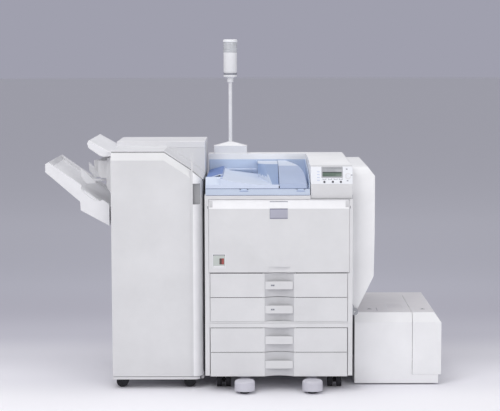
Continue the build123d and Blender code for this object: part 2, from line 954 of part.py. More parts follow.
# Paper trays: front with a concave scoop bridged by a handle bar, and an open paper box with fences
def tray_front(bottom, height):
    """Drawer front between the front face and the box."""
    left = tray_front_left + seam / 2
    low = bottom + seam / 2
    high = bottom + height - seam
    scoop_start = (scoop_centre - scoop_width / 2, 0)
    scoop_end = (scoop_centre + scoop_width / 2, 0)
    handle_middle = bottom + handle_rise + handle_height / 2
    block((left, printer_width - left), (0, tray_front_thickness), (low, high))
    with BuildSketch(level(low), mode=Mode.PRIVATE) as scoop:
        with BuildLine():
            ThreePointArc(scoop_start, (scoop_centre, scoop_depth), scoop_end)
            Line(scoop_end, scoop_start)
        make_face()
    extrude(scoop.sketch, amount=high - low, mode=Mode.SUBTRACT)
    with BuildSketch(upright(handle_thickness), mode=Mode.PRIVATE) as bar:
        with Locations((handle_centre, handle_middle)):
            RectangleRounded(handle_width, handle_height, 3)
    extrude(bar.sketch, amount=handle_thickness)


def tray_box(bottom):
    """Paper box with a feed head at the right and runners along both sides."""
    floor = bottom + tray_floor_rise
    top = floor + tray_box_height
    right = printer_width - tray_box_left
    box_back = tray_front_thickness + tray_box_depth
    block((tray_box_left, right), (tray_front_thickness, box_back), (floor, top))
    well_right = right - tray_feed_width
    well = (tray_front_thickness + tray_wall, box_back - tray_wall)
    block((tray_box_left + tray_wall, well_right), well, (floor + tray_wall, top), Mode.SUBTRACT)
    block((well_right + tray_wall, right - tray_wall), well, (floor + 22, top), Mode.SUBTRACT)
    for x in ((tray_box_left - runner_width, tray_box_left), (right, right + runner_width)):
        block(x, (tray_front_thickness, box_back), (top - runner_height, top))
    fence_z = (floor + tray_wall, floor + fence_height)
    for y in side_fence_y:
        block(side_fence_x, (y, y + fence_thickness), fence_z)
    block((end_fence_x, end_fence_x + fence_thickness), end_fence_y, fence_z)


tray_bottoms = {"tray_1": tray_1_bottom, "tray_2": strip_top, "tray_3": tray_3_bottom, "tray_4": bank_bottom}
for tray_name, bottom in tray_bottoms.items():
    height = engine_tray_height if bottom >= strip_top else bank_tray_height
    with BuildPart() as front_piece:
        tray_front(bottom, height)
    save(front_piece, f"{tray_name}_front")
    with BuildPart() as box_piece:
        tray_box(bottom)
    save(box_piece, f"{tray_name}_box")

# Stabilizers: domed caps on arms under the bank, and their round feet
stabilizer_y = stabilizer_radius - stabilizer_reach
cap_low = foot_height
cap_high = foot_height + stabilizer_height
with BuildPart() as stabilizers:
    for x in stabilizer_centres:
        rod(level(cap_low), (x, stabilizer_y), stabilizer_radius, stabilizer_height)
    fillet(stabilizers.part.edges().filter_by(GeomType.CIRCLE).group_by(Axis.Z)[-1], 10)
    for x in stabilizer_centres:
        arm_x = (x - arm_width / 2, x + arm_width / 2)
        block(arm_x, (stabilizer_y, stabilizer_y + arm_length), (cap_high - arm_height, cap_high))
        block(arm_x, (tray_front_thickness + 6, stabilizer_y + arm_length), (cap_high - 2, bank_floor))
save(stabilizers, "stabilizers")

with BuildPart() as leveling_feet:
    for x in stabilizer_centres:
        rod(level(0), (x, stabilizer_y), foot_radius, foot_height)
save(leveling_feet, "leveling_feet")


# Casters with twin wheels
def twin_wheel(plane, centre, radius, width):
    """Two treads on one axle, centred on the plane."""
    tread = (width - wheel_groove) / 2
    for offset in (wheel_groove / 2, -wheel_groove / 2 - tread):
        rod(plane.offset(offset), centre, radius, tread)
    rod(plane.offset(-wheel_groove / 2), centre, axle_radius, wheel_groove)


def fork_plate(plane, axle, head, top):
    """Upright plate between the wheels, from the axle up to its head, with the axle bore."""
    half = 11
    with BuildSketch(plane.offset(-fork_thickness / 2), mode=Mode.PRIVATE) as plate:
        with BuildLine():
            Polyline(
                (axle[0] - half, axle[1]),
                (head - half, top),
                (head + half, top),
                (axle[0] + half, axle[1]),
            )
            ThreePointArc(
                (axle[0] + half, axle[1]),
                (axle[0], axle[1] - half),
                (axle[0] - half, axle[1]),
            )
        make_face()
        with Locations(axle):
            Circle(axle_radius + pin_gap, mode=Mode.SUBTRACT)
    extrude(plate.sketch, amount=fork_thickness)


axle_z = wheel_radius
for side, x in zip(("left", "right"), caster_centres):
    with BuildPart() as swivel_fork:
        plate_top = bank_floor - slide_gap - 4
        fork_plate(sideways(x), (caster_front_y + caster_trail, axle_z), caster_front_y, plate_top)
        rod(level(plate_top), (x, caster_front_y), swivel_radius, 4)
        rod(level(plate_top), (x, caster_front_y), stem_radius, 4 + slide_gap + 2.5)
    save(swivel_fork, f"swivel_fork_{side}")
    with BuildPart() as front_wheel:
        twin_wheel(sideways(x), (caster_front_y + caster_trail, axle_z), wheel_radius, twin_width)
    save(front_wheel, f"front_wheel_{side}")
    with BuildPart() as rear_wheel:
        twin_wheel(sideways(x), (caster_back_y, axle_z), wheel_radius, twin_width)
    save(rear_wheel, f"rear_wheel_{side}")

finisher_caster_x = (
    finisher_left + finisher_caster_insets[0],
    finisher_right - finisher_caster_insets[1],
)
finisher_caster_y = (finisher_caster_front_y, finisher_caster_back_y)
finisher_floor = finisher_bottom + 26
finisher_places = [(x, y) for x in finisher_caster_x for y in finisher_caster_y]
for number, (x, y) in enumerate(finisher_places, start=1):
    with BuildPart() as finisher_wheel:
        twin_wheel(upright(y), (x, finisher_wheel_radius), finisher_wheel_radius, finisher_twin_width)
    save(finisher_wheel, f"finisher_wheel_{number}")

with BuildPart() as caster_forks:
    for x in caster_centres:
        fork_plate(sideways(x), (caster_back_y, axle_z), caster_back_y, bank_floor - 3)
        rod(level(bank_floor - 3), (x, caster_back_y), swivel_radius, 3)
    for x, y in finisher_places:
        fork_plate(upright(y), (x, finisher_wheel_radius), x, finisher_floor - 3)
        rod(level(finisher_floor - 3), (x, y), swivel_radius, 3)
save(caster_forks, "caster_forks")

# Duplex unit: tall shell with a tapered foot, a paper guide with ribs inside and two hinge pins
duplex_outline = [
    (duplex_left, duplex_pivot_z),
    (duplex_left, duplex_top),
    (duplex_shoulder_x, duplex_top),
    (duplex_right, duplex_shoulder_z),
    (duplex_right, bypass_top + 3),
    (duplex_right - 3, duplex_taper_top),
    (duplex_foot_x, duplex_pivot_z + 3),
    (duplex_foot_x, duplex_pivot_z),
]
bypass_x = duplex_right - 2 - bypass_thickness / 2
bypass_pivot = (bypass_x, bypass_bottom + bypass_thickness / 2)
with BuildPart() as duplex_unit:
    duplex_length = duplex_back - duplex_front
    prism(upright(duplex_back), duplex_outline, duplex_length)
    foot_radius_x = duplex_pivot_x - duplex_left
    rod(upright(duplex_back), (duplex_pivot_x, duplex_pivot_z), foot_radius_x, duplex_length)
    hollow_low = duplex_pivot_z + 30
    hollow_high = duplex_top - duplex_lean_height - 1.5 * duplex_wall
    hollow_right = duplex_right - 12
    hollow_length = duplex_length - 2 * duplex_wall
    prism(
        upright(duplex_back - duplex_wall),
        [
            (duplex_left, hollow_low),
            (duplex_left, hollow_high),
            (hollow_right, hollow_high),
            (hollow_right, duplex_taper_top + 8),
            (duplex_foot_x, hollow_low),
        ],
        hollow_length,
        Mode.SUBTRACT,
    )
    prism(
        upright(duplex_back - duplex_wall),
        [
            (duplex_left, hollow_high),
            (duplex_left, duplex_top - duplex_wall),
            (duplex_shoulder_x - 2, duplex_top - duplex_wall),
            (hollow_right, duplex_shoulder_z - 4),
            (hollow_right, hollow_high),
        ],
        hollow_length - duplex_lean,
        Mode.SUBTRACT,
    )
    guide = (duplex_left + 6, duplex_left + 9)
    inside = (duplex_front + duplex_wall, duplex_back - duplex_wall)
    block(guide, inside, (duplex_pivot_z + 28, duplex_top - duplex_wall))
    pitch = (inside[1] - inside[0]) / (duplex_rib_count + 1)
    for number in range(duplex_rib_count):
        y = inside[0] + pitch * (number + 1)
        block((duplex_left + 1, guide[0]), (y - 1.5, y + 1.5), (duplex_pivot_z + 50, duplex_top - 30))
    prism(
        sideways(duplex_left),
        [
            (duplex_front, duplex_top - duplex_lean_height),
            (duplex_front, duplex_top),
            (duplex_front + duplex_lean, duplex_top),
        ],
        duplex_right - duplex_left,
        Mode.SUBTRACT,
    )
    bypass_well = (bypass_front - 1.5, bypass_front + bypass_width + 1.5)
    recess_x = (duplex_right - bypass_thickness - 2.5, duplex_right + 1)
    block(recess_x, bypass_well, (bypass_bottom - 3, bypass_top + 1.5), Mode.SUBTRACT)
    bore = bypass_pin_radius + pin_gap
    for y in (bypass_well[0], bypass_well[1] + bypass_pin_length):
        rod(upright(y), bypass_pivot, bore, bypass_pin_length, Mode.SUBTRACT)
    pivot = (duplex_pivot_x, duplex_pivot_z)
    rod(upright(duplex_front), pivot, duplex_pin_radius, 14)
    rod(upright(duplex_back), pivot, duplex_pin_radius, -14)
save(duplex_unit, "duplex_unit")

# Bypass tray: folding panel with a shallow paper bed and two guide fences
with BuildPart() as bypass_tray:
    panel_x = (bypass_x - bypass_thickness / 2, bypass_x + bypass_thickness / 2)
    panel_y = (bypass_front, bypass_front + bypass_width)
    block(panel_x, panel_y, (bypass_bottom, bypass_top))
    fillet(bypass_tray.part.edges().filter_by(Axis.Y).group_by(Axis.Z)[0], bypass_thickness / 2 - 0.1)
    rod(upright(panel_y[0]), bypass_pivot, bypass_pin_radius, bypass_pin_length)
    rod(upright(panel_y[1] + bypass_pin_length), bypass_pivot, bypass_pin_radius, bypass_pin_length)
    bed_y = (bypass_front + 12, bypass_front + bypass_width - 12)
    block((panel_x[0], panel_x[0] + 4), bed_y, (bypass_bottom + 14, bypass_top - 14), Mode.SUBTRACT)
    for y in (bypass_front + 90, bypass_front + bypass_width - 94):
        block((panel_x[0], panel_x[0] + 5), (y, y + 4), (bypass_bottom + 20, bypass_top - 60))
save(bypass_tray, "bypass_tray")

# Large side feeder: case with its base, front and rear walls, and a cover that opens to the right
feeder_seam = feeder_right - feeder_cover_width
feeder_outline = [
    (feeder_left, feeder_bottom + feeder_base_height),
    (feeder_left, feeder_top),
    (feeder_right - feeder_chamfer_width, feeder_top),
    (feeder_right, feeder_top - feeder_chamfer_height),
    (feeder_right, feeder_bottom + feeder_base_height),
]
feeder_inside = [
    (feeder_left + feeder_wall, feeder_bottom + feeder_base_height),
    (feeder_left + feeder_wall, feeder_top - feeder_wall),
    (feeder_right - feeder_chamfer_width - 2, feeder_top - feeder_wall),
    (feeder_right - feeder_wall, feeder_top - feeder_chamfer_height - 2),
    (feeder_right - feeder_wall, feeder_bottom + feeder_base_height),
]
front_slope = [
    (feeder_front, feeder_top - feeder_chamfer_height),
    (feeder_front, feeder_top),
    (feeder_front + feeder_front_chamfer, feeder_top),
]
feeder_base_top = feeder_bottom + feeder_base_height
feeder_pivot = (feeder_right - feeder_pivot_inset, feeder_base_top + feeder_pivot_rise)


feeder_back = row_back - 5


def feeder_hollow(back):
    """Space under the hood, from behind its front wall to a given depth."""
    prism(upright(back), feeder_inside, back - feeder_front - feeder_wall)
    lean = feeder_front_chamfer / feeder_chamfer_height
    low = feeder_top - feeder_chamfer_height - 2
    prism(
        sideways(feeder_left),
        [
            (feeder_front, low),
            (feeder_front + feeder_wall, low),
            (feeder_front + feeder_wall + lean * (feeder_top - low), feeder_top),
            (feeder_front, feeder_top),
        ],
        feeder_width,
        Mode.SUBTRACT,
    )


def feeder_hood(back):
    """Solid outline of the feeder above its base, from its front to a given depth."""
    prism(upright(back), feeder_outline, back - feeder_front)
    prism(sideways(feeder_left), front_slope, feeder_width, Mode.SUBTRACT)


with BuildPart() as case_space:
    feeder_hollow(feeder_back - feeder_wall)

with BuildPart() as cover_space:
    feeder_hollow(feeder_cover_back - 1 - feeder_wall)

with BuildPart() as lct_case:
    feeder_hood(feeder_back)
    add(case_space.part, mode=Mode.SUBTRACT)
    past = feeder_right + 1
    lid_z = (feeder_base_top, feeder_top + 1)
    block((feeder_seam, past), (feeder_front - 1, feeder_cover_back), lid_z, Mode.SUBTRACT)
    base_right = feeder_right - feeder_base_inset
    block((feeder_left, base_right), (feeder_front, feeder_back), (feeder_bottom, feeder_base_top))
    tail = (feeder_cover_back + 1, feeder_cover_back + 4)
    tail_z = (feeder_base_top, feeder_top - feeder_chamfer_height)
    block((feeder_seam, feeder_right - feeder_wall), tail, tail_z)
    rod(upright(feeder_cover_back + 4), feeder_pivot, feeder_pin_radius + pin_gap, 4, Mode.SUBTRACT)
    for y in dock_pin_y:
        rod(sideways(feeder_left), (y, dock_pin_z), dock_pin_radius, -feeder_gap - dock_pin_length)
save(lct_case, "lct_case")

with BuildPart() as lct_cover:
    feeder_hood(feeder_cover_back - 1)
    add(cover_space.part, mode=Mode.SUBTRACT)
    rest = (feeder_left - 1, feeder_seam + seam)
    block(rest, (feeder_front - 1, row_back), (0, feeder_top + 1), Mode.SUBTRACT)
    block((feeder_seam, feeder_right + 1), (0, row_back), (0, feeder_base_top + 0.5), Mode.SUBTRACT)
    rod(upright(feeder_cover_back - 1), feeder_pivot, feeder_pin_radius, -4)
save(lct_cover, "lct_cover")

# Lifting plate for the paper stack in the side feeder
with BuildPart() as lct_plate:
    plate_bottom = feeder_base_top + feeder_plate_rise
    plate_x = (feeder_left + feeder_wall + slide_gap, feeder_right - 30)
    plate_z = (plate_bottom, plate_bottom + feeder_plate_thickness)
    block(plate_x, (feeder_front + 30, feeder_cover_back - 20), plate_z)
    block((feeder_right - feeder_slot_length, feeder_right), feeder_slot_y, plate_z, Mode.SUBTRACT)
save(lct_plate, "lct_plate")

# Finisher frame: tall box with a curved front edge at its foot, an exit housing and guide slots
finisher_seam = [
    (finisher_left, finisher_flat_top),
    (-finisher_slope_x, finisher_flat_top),
    (-finisher_bend_x, finisher_bend_z),
    (finisher_right, finisher_right_z),
]
door_back = finisher_front + finisher_door_thickness
finisher_body_front = door_back + finisher_door_gap
edge_back = finisher_front + finisher_edge_depth + 5


def curved_front(y_back, z):
    """Slab with the finisher's front in plan: flat, then curving back to the right side."""
    bend = finisher_right - finisher_edge_width
    curve_end = (finisher_right, finisher_front + finisher_edge_depth)
    halfway = (finisher_right - 0.32 * finisher_edge_width, finisher_front + 0.26 * finisher_edge_depth)
    with BuildSketch(level(z[0]), mode=Mode.PRIVATE) as plan:
        with BuildLine():
            Polyline((bend, finisher_front), (finisher_left, finisher_front), (finisher_left, y_back))
            if y_back > curve_end[1]:
                Polyline((finisher_left, y_back), (finisher_right, y_back), curve_end)
            else:
                Line((finisher_left, y_back), curve_end)
            ThreePointArc(curve_end, halfway, (bend, finisher_front))
        make_face()
    extrude(plan.sketch, amount=z[1] - z[0])


with BuildPart() as finisher_frame:
    prism(
        upright(row_back),
        [(finisher_left, finisher_bottom), (finisher_right, finisher_bottom), *reversed(finisher_seam)],
        row_back - finisher_body_front,
    )
    prism(
        upright(row_back),
        [*finisher_seam[1:], (finisher_right, finisher_flat_top)],
        row_back - finisher_step_y,
    )
    inside_x = (finisher_left + finisher_wall + 6, finisher_right - finisher_wall)
    inside_y = (finisher_body_front - 1, row_back - finisher_back_wall)
    shelf_top = finisher_shelf_z + finisher_shelf_thickness
    block(inside_x, inside_y, (finisher_floor + finisher_wall, finisher_shelf_z), Mode.SUBTRACT)
    block(inside_x, inside_y, (shelf_top, finisher_right_z - 20), Mode.SUBTRACT)
    block(
        (finisher_right - finisher_wall - 1.5, finisher_right + 1),
        (finisher_body_front - 1, edge_back + 2),
        (finisher_door_bottom - 2, finisher_flat_top + 1),
        Mode.SUBTRACT,
    )
    curved_front(edge_back, (finisher_bottom, finisher_door_bottom - 2))
    skirt_x = (finisher_left + skirt_wall, finisher_right - skirt_wall)
    block(skirt_x, (finisher_front + skirt_wall, row_back - skirt_wall), (0, finisher_floor), Mode.SUBTRACT)
    pivot = (finisher_left + finisher_pivot_inset, door_back - finisher_pivot_inset)
    rod(level(finisher_bottom), pivot, finisher_pin_radius + pin_gap, 20, Mode.SUBTRACT)
    prism(
        upright(housing_back),
        [
            (finisher_left, housing_top),
            (finisher_left - housing_reach + 4, housing_top - 5),
            (finisher_left - housing_reach, housing_low),
            (finisher_left, housing_bottom),
        ],
        housing_back - housing_front,
    )
    guide_low = housing_low + guide_rise
    prism(
        upright(guide_y[1]),
        [
            (finisher_left - housing_reach + 6, guide_top),
            (finisher_left - guide_reach, guide_top),
            (finisher_left - guide_reach, guide_low + 10),
            (finisher_left - guide_reach + 12, guide_low),
            (finisher_left - housing_reach + 6, guide_low),
        ],
        guide_y[1] - guide_y[0],
    )
    prism(
        upright(side_guide_y[1]),
        [
            (finisher_left - guide_reach, guide_top - 4),
            (finisher_left - side_guide_reach, guide_top - 4),
            (finisher_left - side_guide_reach + 2, guide_low + 28),
            (finisher_left - guide_reach, guide_low + 10),
        ],
        side_guide_y[1] - side_guide_y[0],
    )
    arm_z = housing_low + 14
    arm_slot_z = (arm_z - slide_gap, arm_z + fin_arm_height + slide_gap)
    arm_slot_x = (finisher_left - housing_reach - 1, finisher_left - 8)
    for y in fin_centres:
        slot_y = (y - fin_slot_length / 2, y + fin_slot_length / 2)
        block(arm_slot_x, slot_y, arm_slot_z, Mode.SUBTRACT)
    dock_z = (dock_bracket_z, dock_bracket_z + dock_bracket_size)
    for y in dock_bracket_y:
        block((finisher_right, 0), (y, y + dock_bracket_size), dock_z)
    slot_x = (finisher_left - 1, finisher_left + lug_slot_depth)
    for y in lug_centres:
        slot_y = (y - lug_slot_width / 2, y + lug_slot_width / 2)
        block(slot_x, slot_y, (180, shift_root_top), Mode.SUBTRACT)
save(finisher_frame, "finisher_frame")

# Finisher top cover: thin over the front, raised over the back
with BuildPart() as finisher_top_cover:
    rise = finisher_cover_front_top - finisher_flat_top
    prism(
        upright(finisher_step_y),
        [*finisher_seam, *[(x, z + rise) for x, z in reversed(finisher_seam)]],
        finisher_step_y - door_back - 1,
    )
    block(
        (finisher_left, finisher_right),
        (finisher_step_y, row_back),
        (finisher_flat_top, finisher_cover_back_top),
    )
    chamfer(finisher_top_cover.part.edges().filter_by(Axis.X).sort_by(Axis.Y)[-2:].sort_by(Axis.Z)[-1], 6)
save(finisher_top_cover, "finisher_top_cover")

# Finisher door: shell with a curved right edge, a sloping top and a grip recess
with BuildPart() as finisher_door:
    curved_front(edge_back, (finisher_door_bottom, finisher_flat_top))
    block(
        (finisher_left - 1, finisher_right - finisher_wall),
        (door_back, row_back),
        (finisher_door_bottom - 1, finisher_flat_top + 1),
        Mode.SUBTRACT,
    )
    prism(
        upright(door_back + 30),
        [
            (-finisher_slope_x, finisher_flat_top - seam),
            (-finisher_bend_x, finisher_bend_z - seam),
            (finisher_right + 1, finisher_right_z - seam),
            (finisher_right + 1, finisher_flat_top + 1),
            (finisher_left, finisher_flat_top + 1),
            (finisher_left, finisher_flat_top - seam),
        ],
        door_back + 30 - finisher_front,
        Mode.SUBTRACT,
    )
    slope = (finisher_bend_z - finisher_flat_top) / (finisher_slope_x - finisher_bend_x)
    for x, fall in ((finisher_left, 0), (-finisher_slope_x, slope)):
        with BuildSketch(sideways(x)) as wedge:
            with BuildLine():
                top = finisher_flat_top - seam
                Polyline(
                    (finisher_front, top - finisher_chamfer_height),
                    (finisher_front, top + 40),
                    (door_back, top + 40),
                    (door_back, top),
                    close=True,
                )
            make_face()
        run = -finisher_bend_x - x
        extrude(amount=run * (1 + fall**2) ** 0.5, dir=(1, 0, fall), mode=Mode.SUBTRACT)
    groove_x = (-finisher_bend_x, -finisher_bend_x + finisher_groove)
    groove_z = (finisher_door_bottom, finisher_bend_z)
    block(groove_x, (finisher_front, finisher_front + finisher_groove), groove_z, Mode.SUBTRACT)
    hollow_top = finisher_bend_z - finisher_chamfer_height - 20
    block(
        (finisher_left + 14, finisher_right - finisher_edge_width),
        (finisher_front + finisher_wall, door_back),
        (finisher_door_bottom + 14, hollow_top),
        Mode.SUBTRACT,
    )
    grip_z = (finisher_grip_bottom, finisher_grip_bottom + finisher_grip_height)
    grip_x = (finisher_right - finisher_edge_width + 2, finisher_right - 6)
    block(grip_x, (finisher_front, finisher_front + finisher_grip_depth), grip_z, Mode.SUBTRACT)
    pivot = (finisher_left + finisher_pivot_inset, door_back - finisher_pivot_inset)
    rod(level(finisher_door_bottom), pivot, finisher_pin_radius, -8)
save(finisher_door, "finisher_door")

# Proof tray on the finisher's upper left
with BuildPart() as proof_tray:
    root_x = finisher_left
    root_z = housing_top + 4
    tip_x = finisher_left - proof_reach
    prism(
        upright(proof_front + proof_width),
        [
            (root_x, root_z),
            (root_x - 30, root_z - 2),
            (root_x - 46, root_z + 2),
            (tip_x + 4, root_z + proof_rise - 8),
            (tip_x, root_z + proof_rise + 10),
            (tip_x + 6, root_z + proof_rise + 22),
            (root_x - 16, root_z + 22),
            (root_x, root_z + 18),
        ],
        proof_width,
    )
save(proof_tray, "proof_tray")

# Shift tray: slanted output tray with side walls and a finger cut-out, on lugs in the guide slots
shift_tip = finisher_left - tray_overhang
shift_root = finisher_left - shift_root_gap
shift_bend = finisher_left - shift_bend_reach
with BuildPart() as shift_tray:
    shift_back = shift_front + shift_width
    prism(
        upright(shift_back),
        [
            (shift_root, shift_root_bottom),
            (shift_root, shift_root_top),
            (shift_tip + 12, shift_tip_top),
            (shift_tip, shift_tip_top - 8),
            (shift_tip, shift_tip_bottom),
            (shift_bend, shift_bend_z),
            (shift_bend + 2, shift_step_z),
        ],
        shift_width,
    )
    prism(
        upright(shift_back - shift_wall),
        [
            (shift_root, shift_root_top - shift_floor_drop),
            (shift_root, shift_root_top + 1),
            (shift_tip + 12, shift_tip_top + 1),
            (shift_tip + 20, shift_tip_top - 20),
        ],
        shift_width - 2 * shift_wall,
        Mode.SUBTRACT,
    )
    tilt = degrees(atan2(shift_tip_top - shift_root_top, shift_root - shift_tip))
    with BuildSketch(upright(shift_front + shift_wall)):
        with Locations(Location((shift_root - 68, shift_root_top + 46, 0), (0, 0, -tilt))):
            Ellipse(50, 20)
    extrude(amount=shift_wall, mode=Mode.SUBTRACT)
    lug_z = (shift_root_bottom + 20, shift_root_top - 20)
    lug_x = (shift_root, finisher_left + lug_slot_depth - slide_gap)
    for y in lug_centres:
        half = lug_slot_width / 2 - slide_gap
        block(lug_x, (y - half, y + half), lug_z)
save(shift_tray, "shift_tray")


# Jogger fins: pointed blades on arms that run in the slots of the exit housing
def jogger_fin(y):
    """Blade with its arm, centred at depth y."""
    tip = finisher_left - housing_reach - fin_reach
    arm = (finisher_left - housing_reach - 52, finisher_left - 10)
    prism(
        upright(y + fin_thickness / 2),
        [
            (tip, housing_low + 66),
            (tip + 2, housing_low + 30),
            (tip + 24, housing_low + 2),
            (tip + 62, housing_low + 4),
            (tip + 58, housing_low + 14),
        ],
        fin_thickness,
    )
    arm_low = housing_low + 14
    block(arm, (y - 5, y + 5), (arm_low, arm_low + fin_arm_height))
    prism(
        upright(y + 5),
        [
            (tip + 26, housing_low + 6),
            (tip + 60, housing_low + 6),
            (arm[0] + 8, arm_low),
            (arm[0] + 8, arm_low + fin_arm_height),
            (tip + 40, arm_low + fin_arm_height),
        ],
        10,
    )


for fin_name, y in zip(("jogger_fin_front", "jogger_fin_rear"), fin_centres):
    with BuildPart() as fin:
        jogger_fin(y)
    save(fin, fin_name)
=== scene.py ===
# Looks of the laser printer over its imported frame: casings with rounded edges, small fittings,
# moulded plastic and metal materials, a pale floor, soft lamps and the camera.
import json
import math

import bmesh
import bpy
from mathutils import Matrix, Vector

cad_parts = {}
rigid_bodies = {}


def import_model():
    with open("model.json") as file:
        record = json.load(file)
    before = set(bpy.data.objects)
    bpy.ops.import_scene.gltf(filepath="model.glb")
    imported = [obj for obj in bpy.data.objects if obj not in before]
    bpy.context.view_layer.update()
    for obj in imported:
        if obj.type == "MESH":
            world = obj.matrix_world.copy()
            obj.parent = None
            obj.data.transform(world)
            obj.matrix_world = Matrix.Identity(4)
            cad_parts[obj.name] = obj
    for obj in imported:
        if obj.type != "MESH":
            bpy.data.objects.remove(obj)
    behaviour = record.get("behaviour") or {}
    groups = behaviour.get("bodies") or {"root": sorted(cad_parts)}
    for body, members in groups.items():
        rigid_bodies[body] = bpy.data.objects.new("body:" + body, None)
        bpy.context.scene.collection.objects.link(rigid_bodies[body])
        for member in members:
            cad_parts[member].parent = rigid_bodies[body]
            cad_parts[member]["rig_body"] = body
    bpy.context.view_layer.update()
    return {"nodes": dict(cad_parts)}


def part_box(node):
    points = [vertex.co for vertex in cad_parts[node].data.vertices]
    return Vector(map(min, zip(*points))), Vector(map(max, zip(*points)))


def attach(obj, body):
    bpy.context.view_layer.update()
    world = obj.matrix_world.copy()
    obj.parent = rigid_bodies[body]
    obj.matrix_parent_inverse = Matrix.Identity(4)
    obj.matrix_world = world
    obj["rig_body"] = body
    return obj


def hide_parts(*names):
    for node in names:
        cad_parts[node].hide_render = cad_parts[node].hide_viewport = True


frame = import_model()

# Printer frame: millimetres from the front left corner of the casing on the floor
corner = Vector((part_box("bank_frame")[0].x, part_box("tray_1_front")[0].y, 0))
mm = 0.001


def at(x, y, z):
    """Row frame point, in metres, of a place given in the printer's millimetres."""
    return corner + Vector((x, y, z)) * mm


def box_mm(node):
    """Lowest and highest corner of a CAD node in the printer's millimetres."""
    low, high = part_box(node)
    return (low - corner) / mm, (high - corner) / mm


# Camera of the photograph
camera_place = (0.0482, -6.3677, 1.3619)
camera_pitch = 0.1022
camera_yaw = -0.0043
camera_roll = -0.0023
camera_lens = 112.4


def make_camera():
    """Camera at the photograph's place and angle."""
    forward = Vector((
        math.sin(camera_yaw) * math.cos(camera_pitch),
        math.cos(camera_yaw) * math.cos(camera_pitch),
        -math.sin(camera_pitch),
    ))
    level_right = Vector((math.cos(camera_yaw), -math.sin(camera_yaw), 0))
    level_up = level_right.cross(forward)
    right = level_right * math.cos(camera_roll) + level_up * math.sin(camera_roll)
    up = level_up * math.cos(camera_roll) - level_right * math.sin(camera_roll)
    data = bpy.data.cameras.new("camera")
    data.sensor_width = 36
    data.lens = camera_lens
    camera = bpy.data.objects.new("camera", data)
    bpy.context.scene.collection.objects.link(camera)
    turn = Matrix((right, up, -forward)).transposed().to_4x4()
    camera.matrix_world = Matrix.Translation(camera_place) @ turn
    bpy.context.scene.camera = camera


make_camera()


# Materials
def linear(colour):
    """Linear colour of an sRGB colour given in steps from 0 to 255."""
    channels = []
    for step in colour:
        value = step / 255
        channels.append(value / 12.92 if value <= 0.04045 else ((value + 0.055) / 1.055) ** 2.4)
    return (*channels, 1)


def shaded(colour, factor):
    """The same colour, lighter or darker."""
    return tuple(min(255, step * factor) for step in colour)


def noise(material, scale, detail=2.0, roughness=0.5, stretch=None):
    """Noise texture in object coordinates, with scale in cells a metre."""
    nodes = material.node_tree.nodes
    links = material.node_tree.links
    place = nodes.new("ShaderNodeTexCoord")
    texture = nodes.new("ShaderNodeTexNoise")
    texture.inputs["Scale"].default_value = scale
    texture.inputs["Detail"].default_value = detail
    texture.inputs["Roughness"].default_value = roughness
    if stretch is None:
        links.new(place.outputs["Object"], texture.inputs["Vector"])
    else:
        mapping = nodes.new("ShaderNodeMapping")
        mapping.inputs["Scale"].default_value = stretch
        links.new(place.outputs["Object"], mapping.inputs["Vector"])
        links.new(mapping.outputs["Vector"], texture.inputs["Vector"])
    return texture


def new_material(name):
    """New material and its shader."""
    material = bpy.data.materials.new(name)
    material.use_nodes = True
    return material, material.node_tree.nodes["Principled BSDF"]


def paint(material, shader, texture, low, high, shades):
    """Base colour that goes from one shade to the other as the texture goes from low to high."""
    links = material.node_tree.links
    ramp = material.node_tree.nodes.new("ShaderNodeValToRGB")
    for stop, position, shade in zip(ramp.color_ramp.elements, (low, high), shades):
        stop.position = position
        stop.color = linear(shade)
    links.new(texture.outputs["Fac"], ramp.inputs["Fac"])
    links.new(ramp.outputs["Color"], shader.inputs["Base Color"])


def drifting(colour, drift):
    """Two near shades round a colour."""
    return shaded(colour, 1 - drift), shaded(colour, 1 + drift)


def finish_with_grain(material, shader, grain_size, strength, rough):
    """Fine surface grain as bump, and roughness that wanders a little round its middle value."""
    nodes = material.node_tree.nodes
    links = material.node_tree.links
    grain = noise(material, 1 / (grain_size * mm), 3.0, 0.6)
    bump = nodes.new("ShaderNodeBump")
    bump.inputs["Strength"].default_value = strength
    bump.inputs["Distance"].default_value = 0.0002
    links.new(grain.outputs["Fac"], bump.inputs["Height"])
    links.new(bump.outputs["Normal"], shader.inputs["Normal"])
    wander = noise(material, 9, 3.0)
    spread = nodes.new("ShaderNodeMapRange")
    spread.inputs["From Min"].default_value = 0.3
    spread.inputs["From Max"].default_value = 0.7
    spread.inputs["To Min"].default_value = rough - 0.05
    spread.inputs["To Max"].default_value = rough + 0.05
    links.new(wander.outputs["Fac"], spread.inputs["Value"])
    links.new(spread.outputs["Result"], shader.inputs["Roughness"])


def moulded(name, colour, rough=0.5, grain_size=0.9, strength=0.25, drift=0.015):
    """Moulded plastic: soft patches of two near shades under a fine spark-eroded grain."""
    material, shader = new_material(name)
    paint(material, shader, noise(material, 5, 4.0, 0.6), 0.35, 0.65, drifting(colour, drift))
    shader.inputs["Specular IOR Level"].default_value = 0.35
    finish_with_grain(material, shader, grain_size, strength, rough)
    return material


def galvanised(name, colour, rough=0.38):
    """Zinc-plated sheet steel with faint rolling streaks and spangle."""
    material, shader = new_material(name)
    streaks = noise(material, 40, 4.0, 0.7, (1, 1, 12))
    paint(material, shader, streaks, 0.3, 0.7, (shaded(colour, 0.9), shaded(colour, 1.06)))
    shader.inputs["Metallic"].default_value = 0.85
    finish_with_grain(material, shader, 3.0, 0.15, rough)
    return material


def rubber(name, colour):
    """Matt tread rubber with a little dust."""
    material, shader = new_material(name)
    paint(material, shader, noise(material, 60, 5.0, 0.7), 0.4, 0.75, (colour, shaded(colour, 1.6)))
    finish_with_grain(material, shader, 0.8, 0.4, 0.72)
    return material


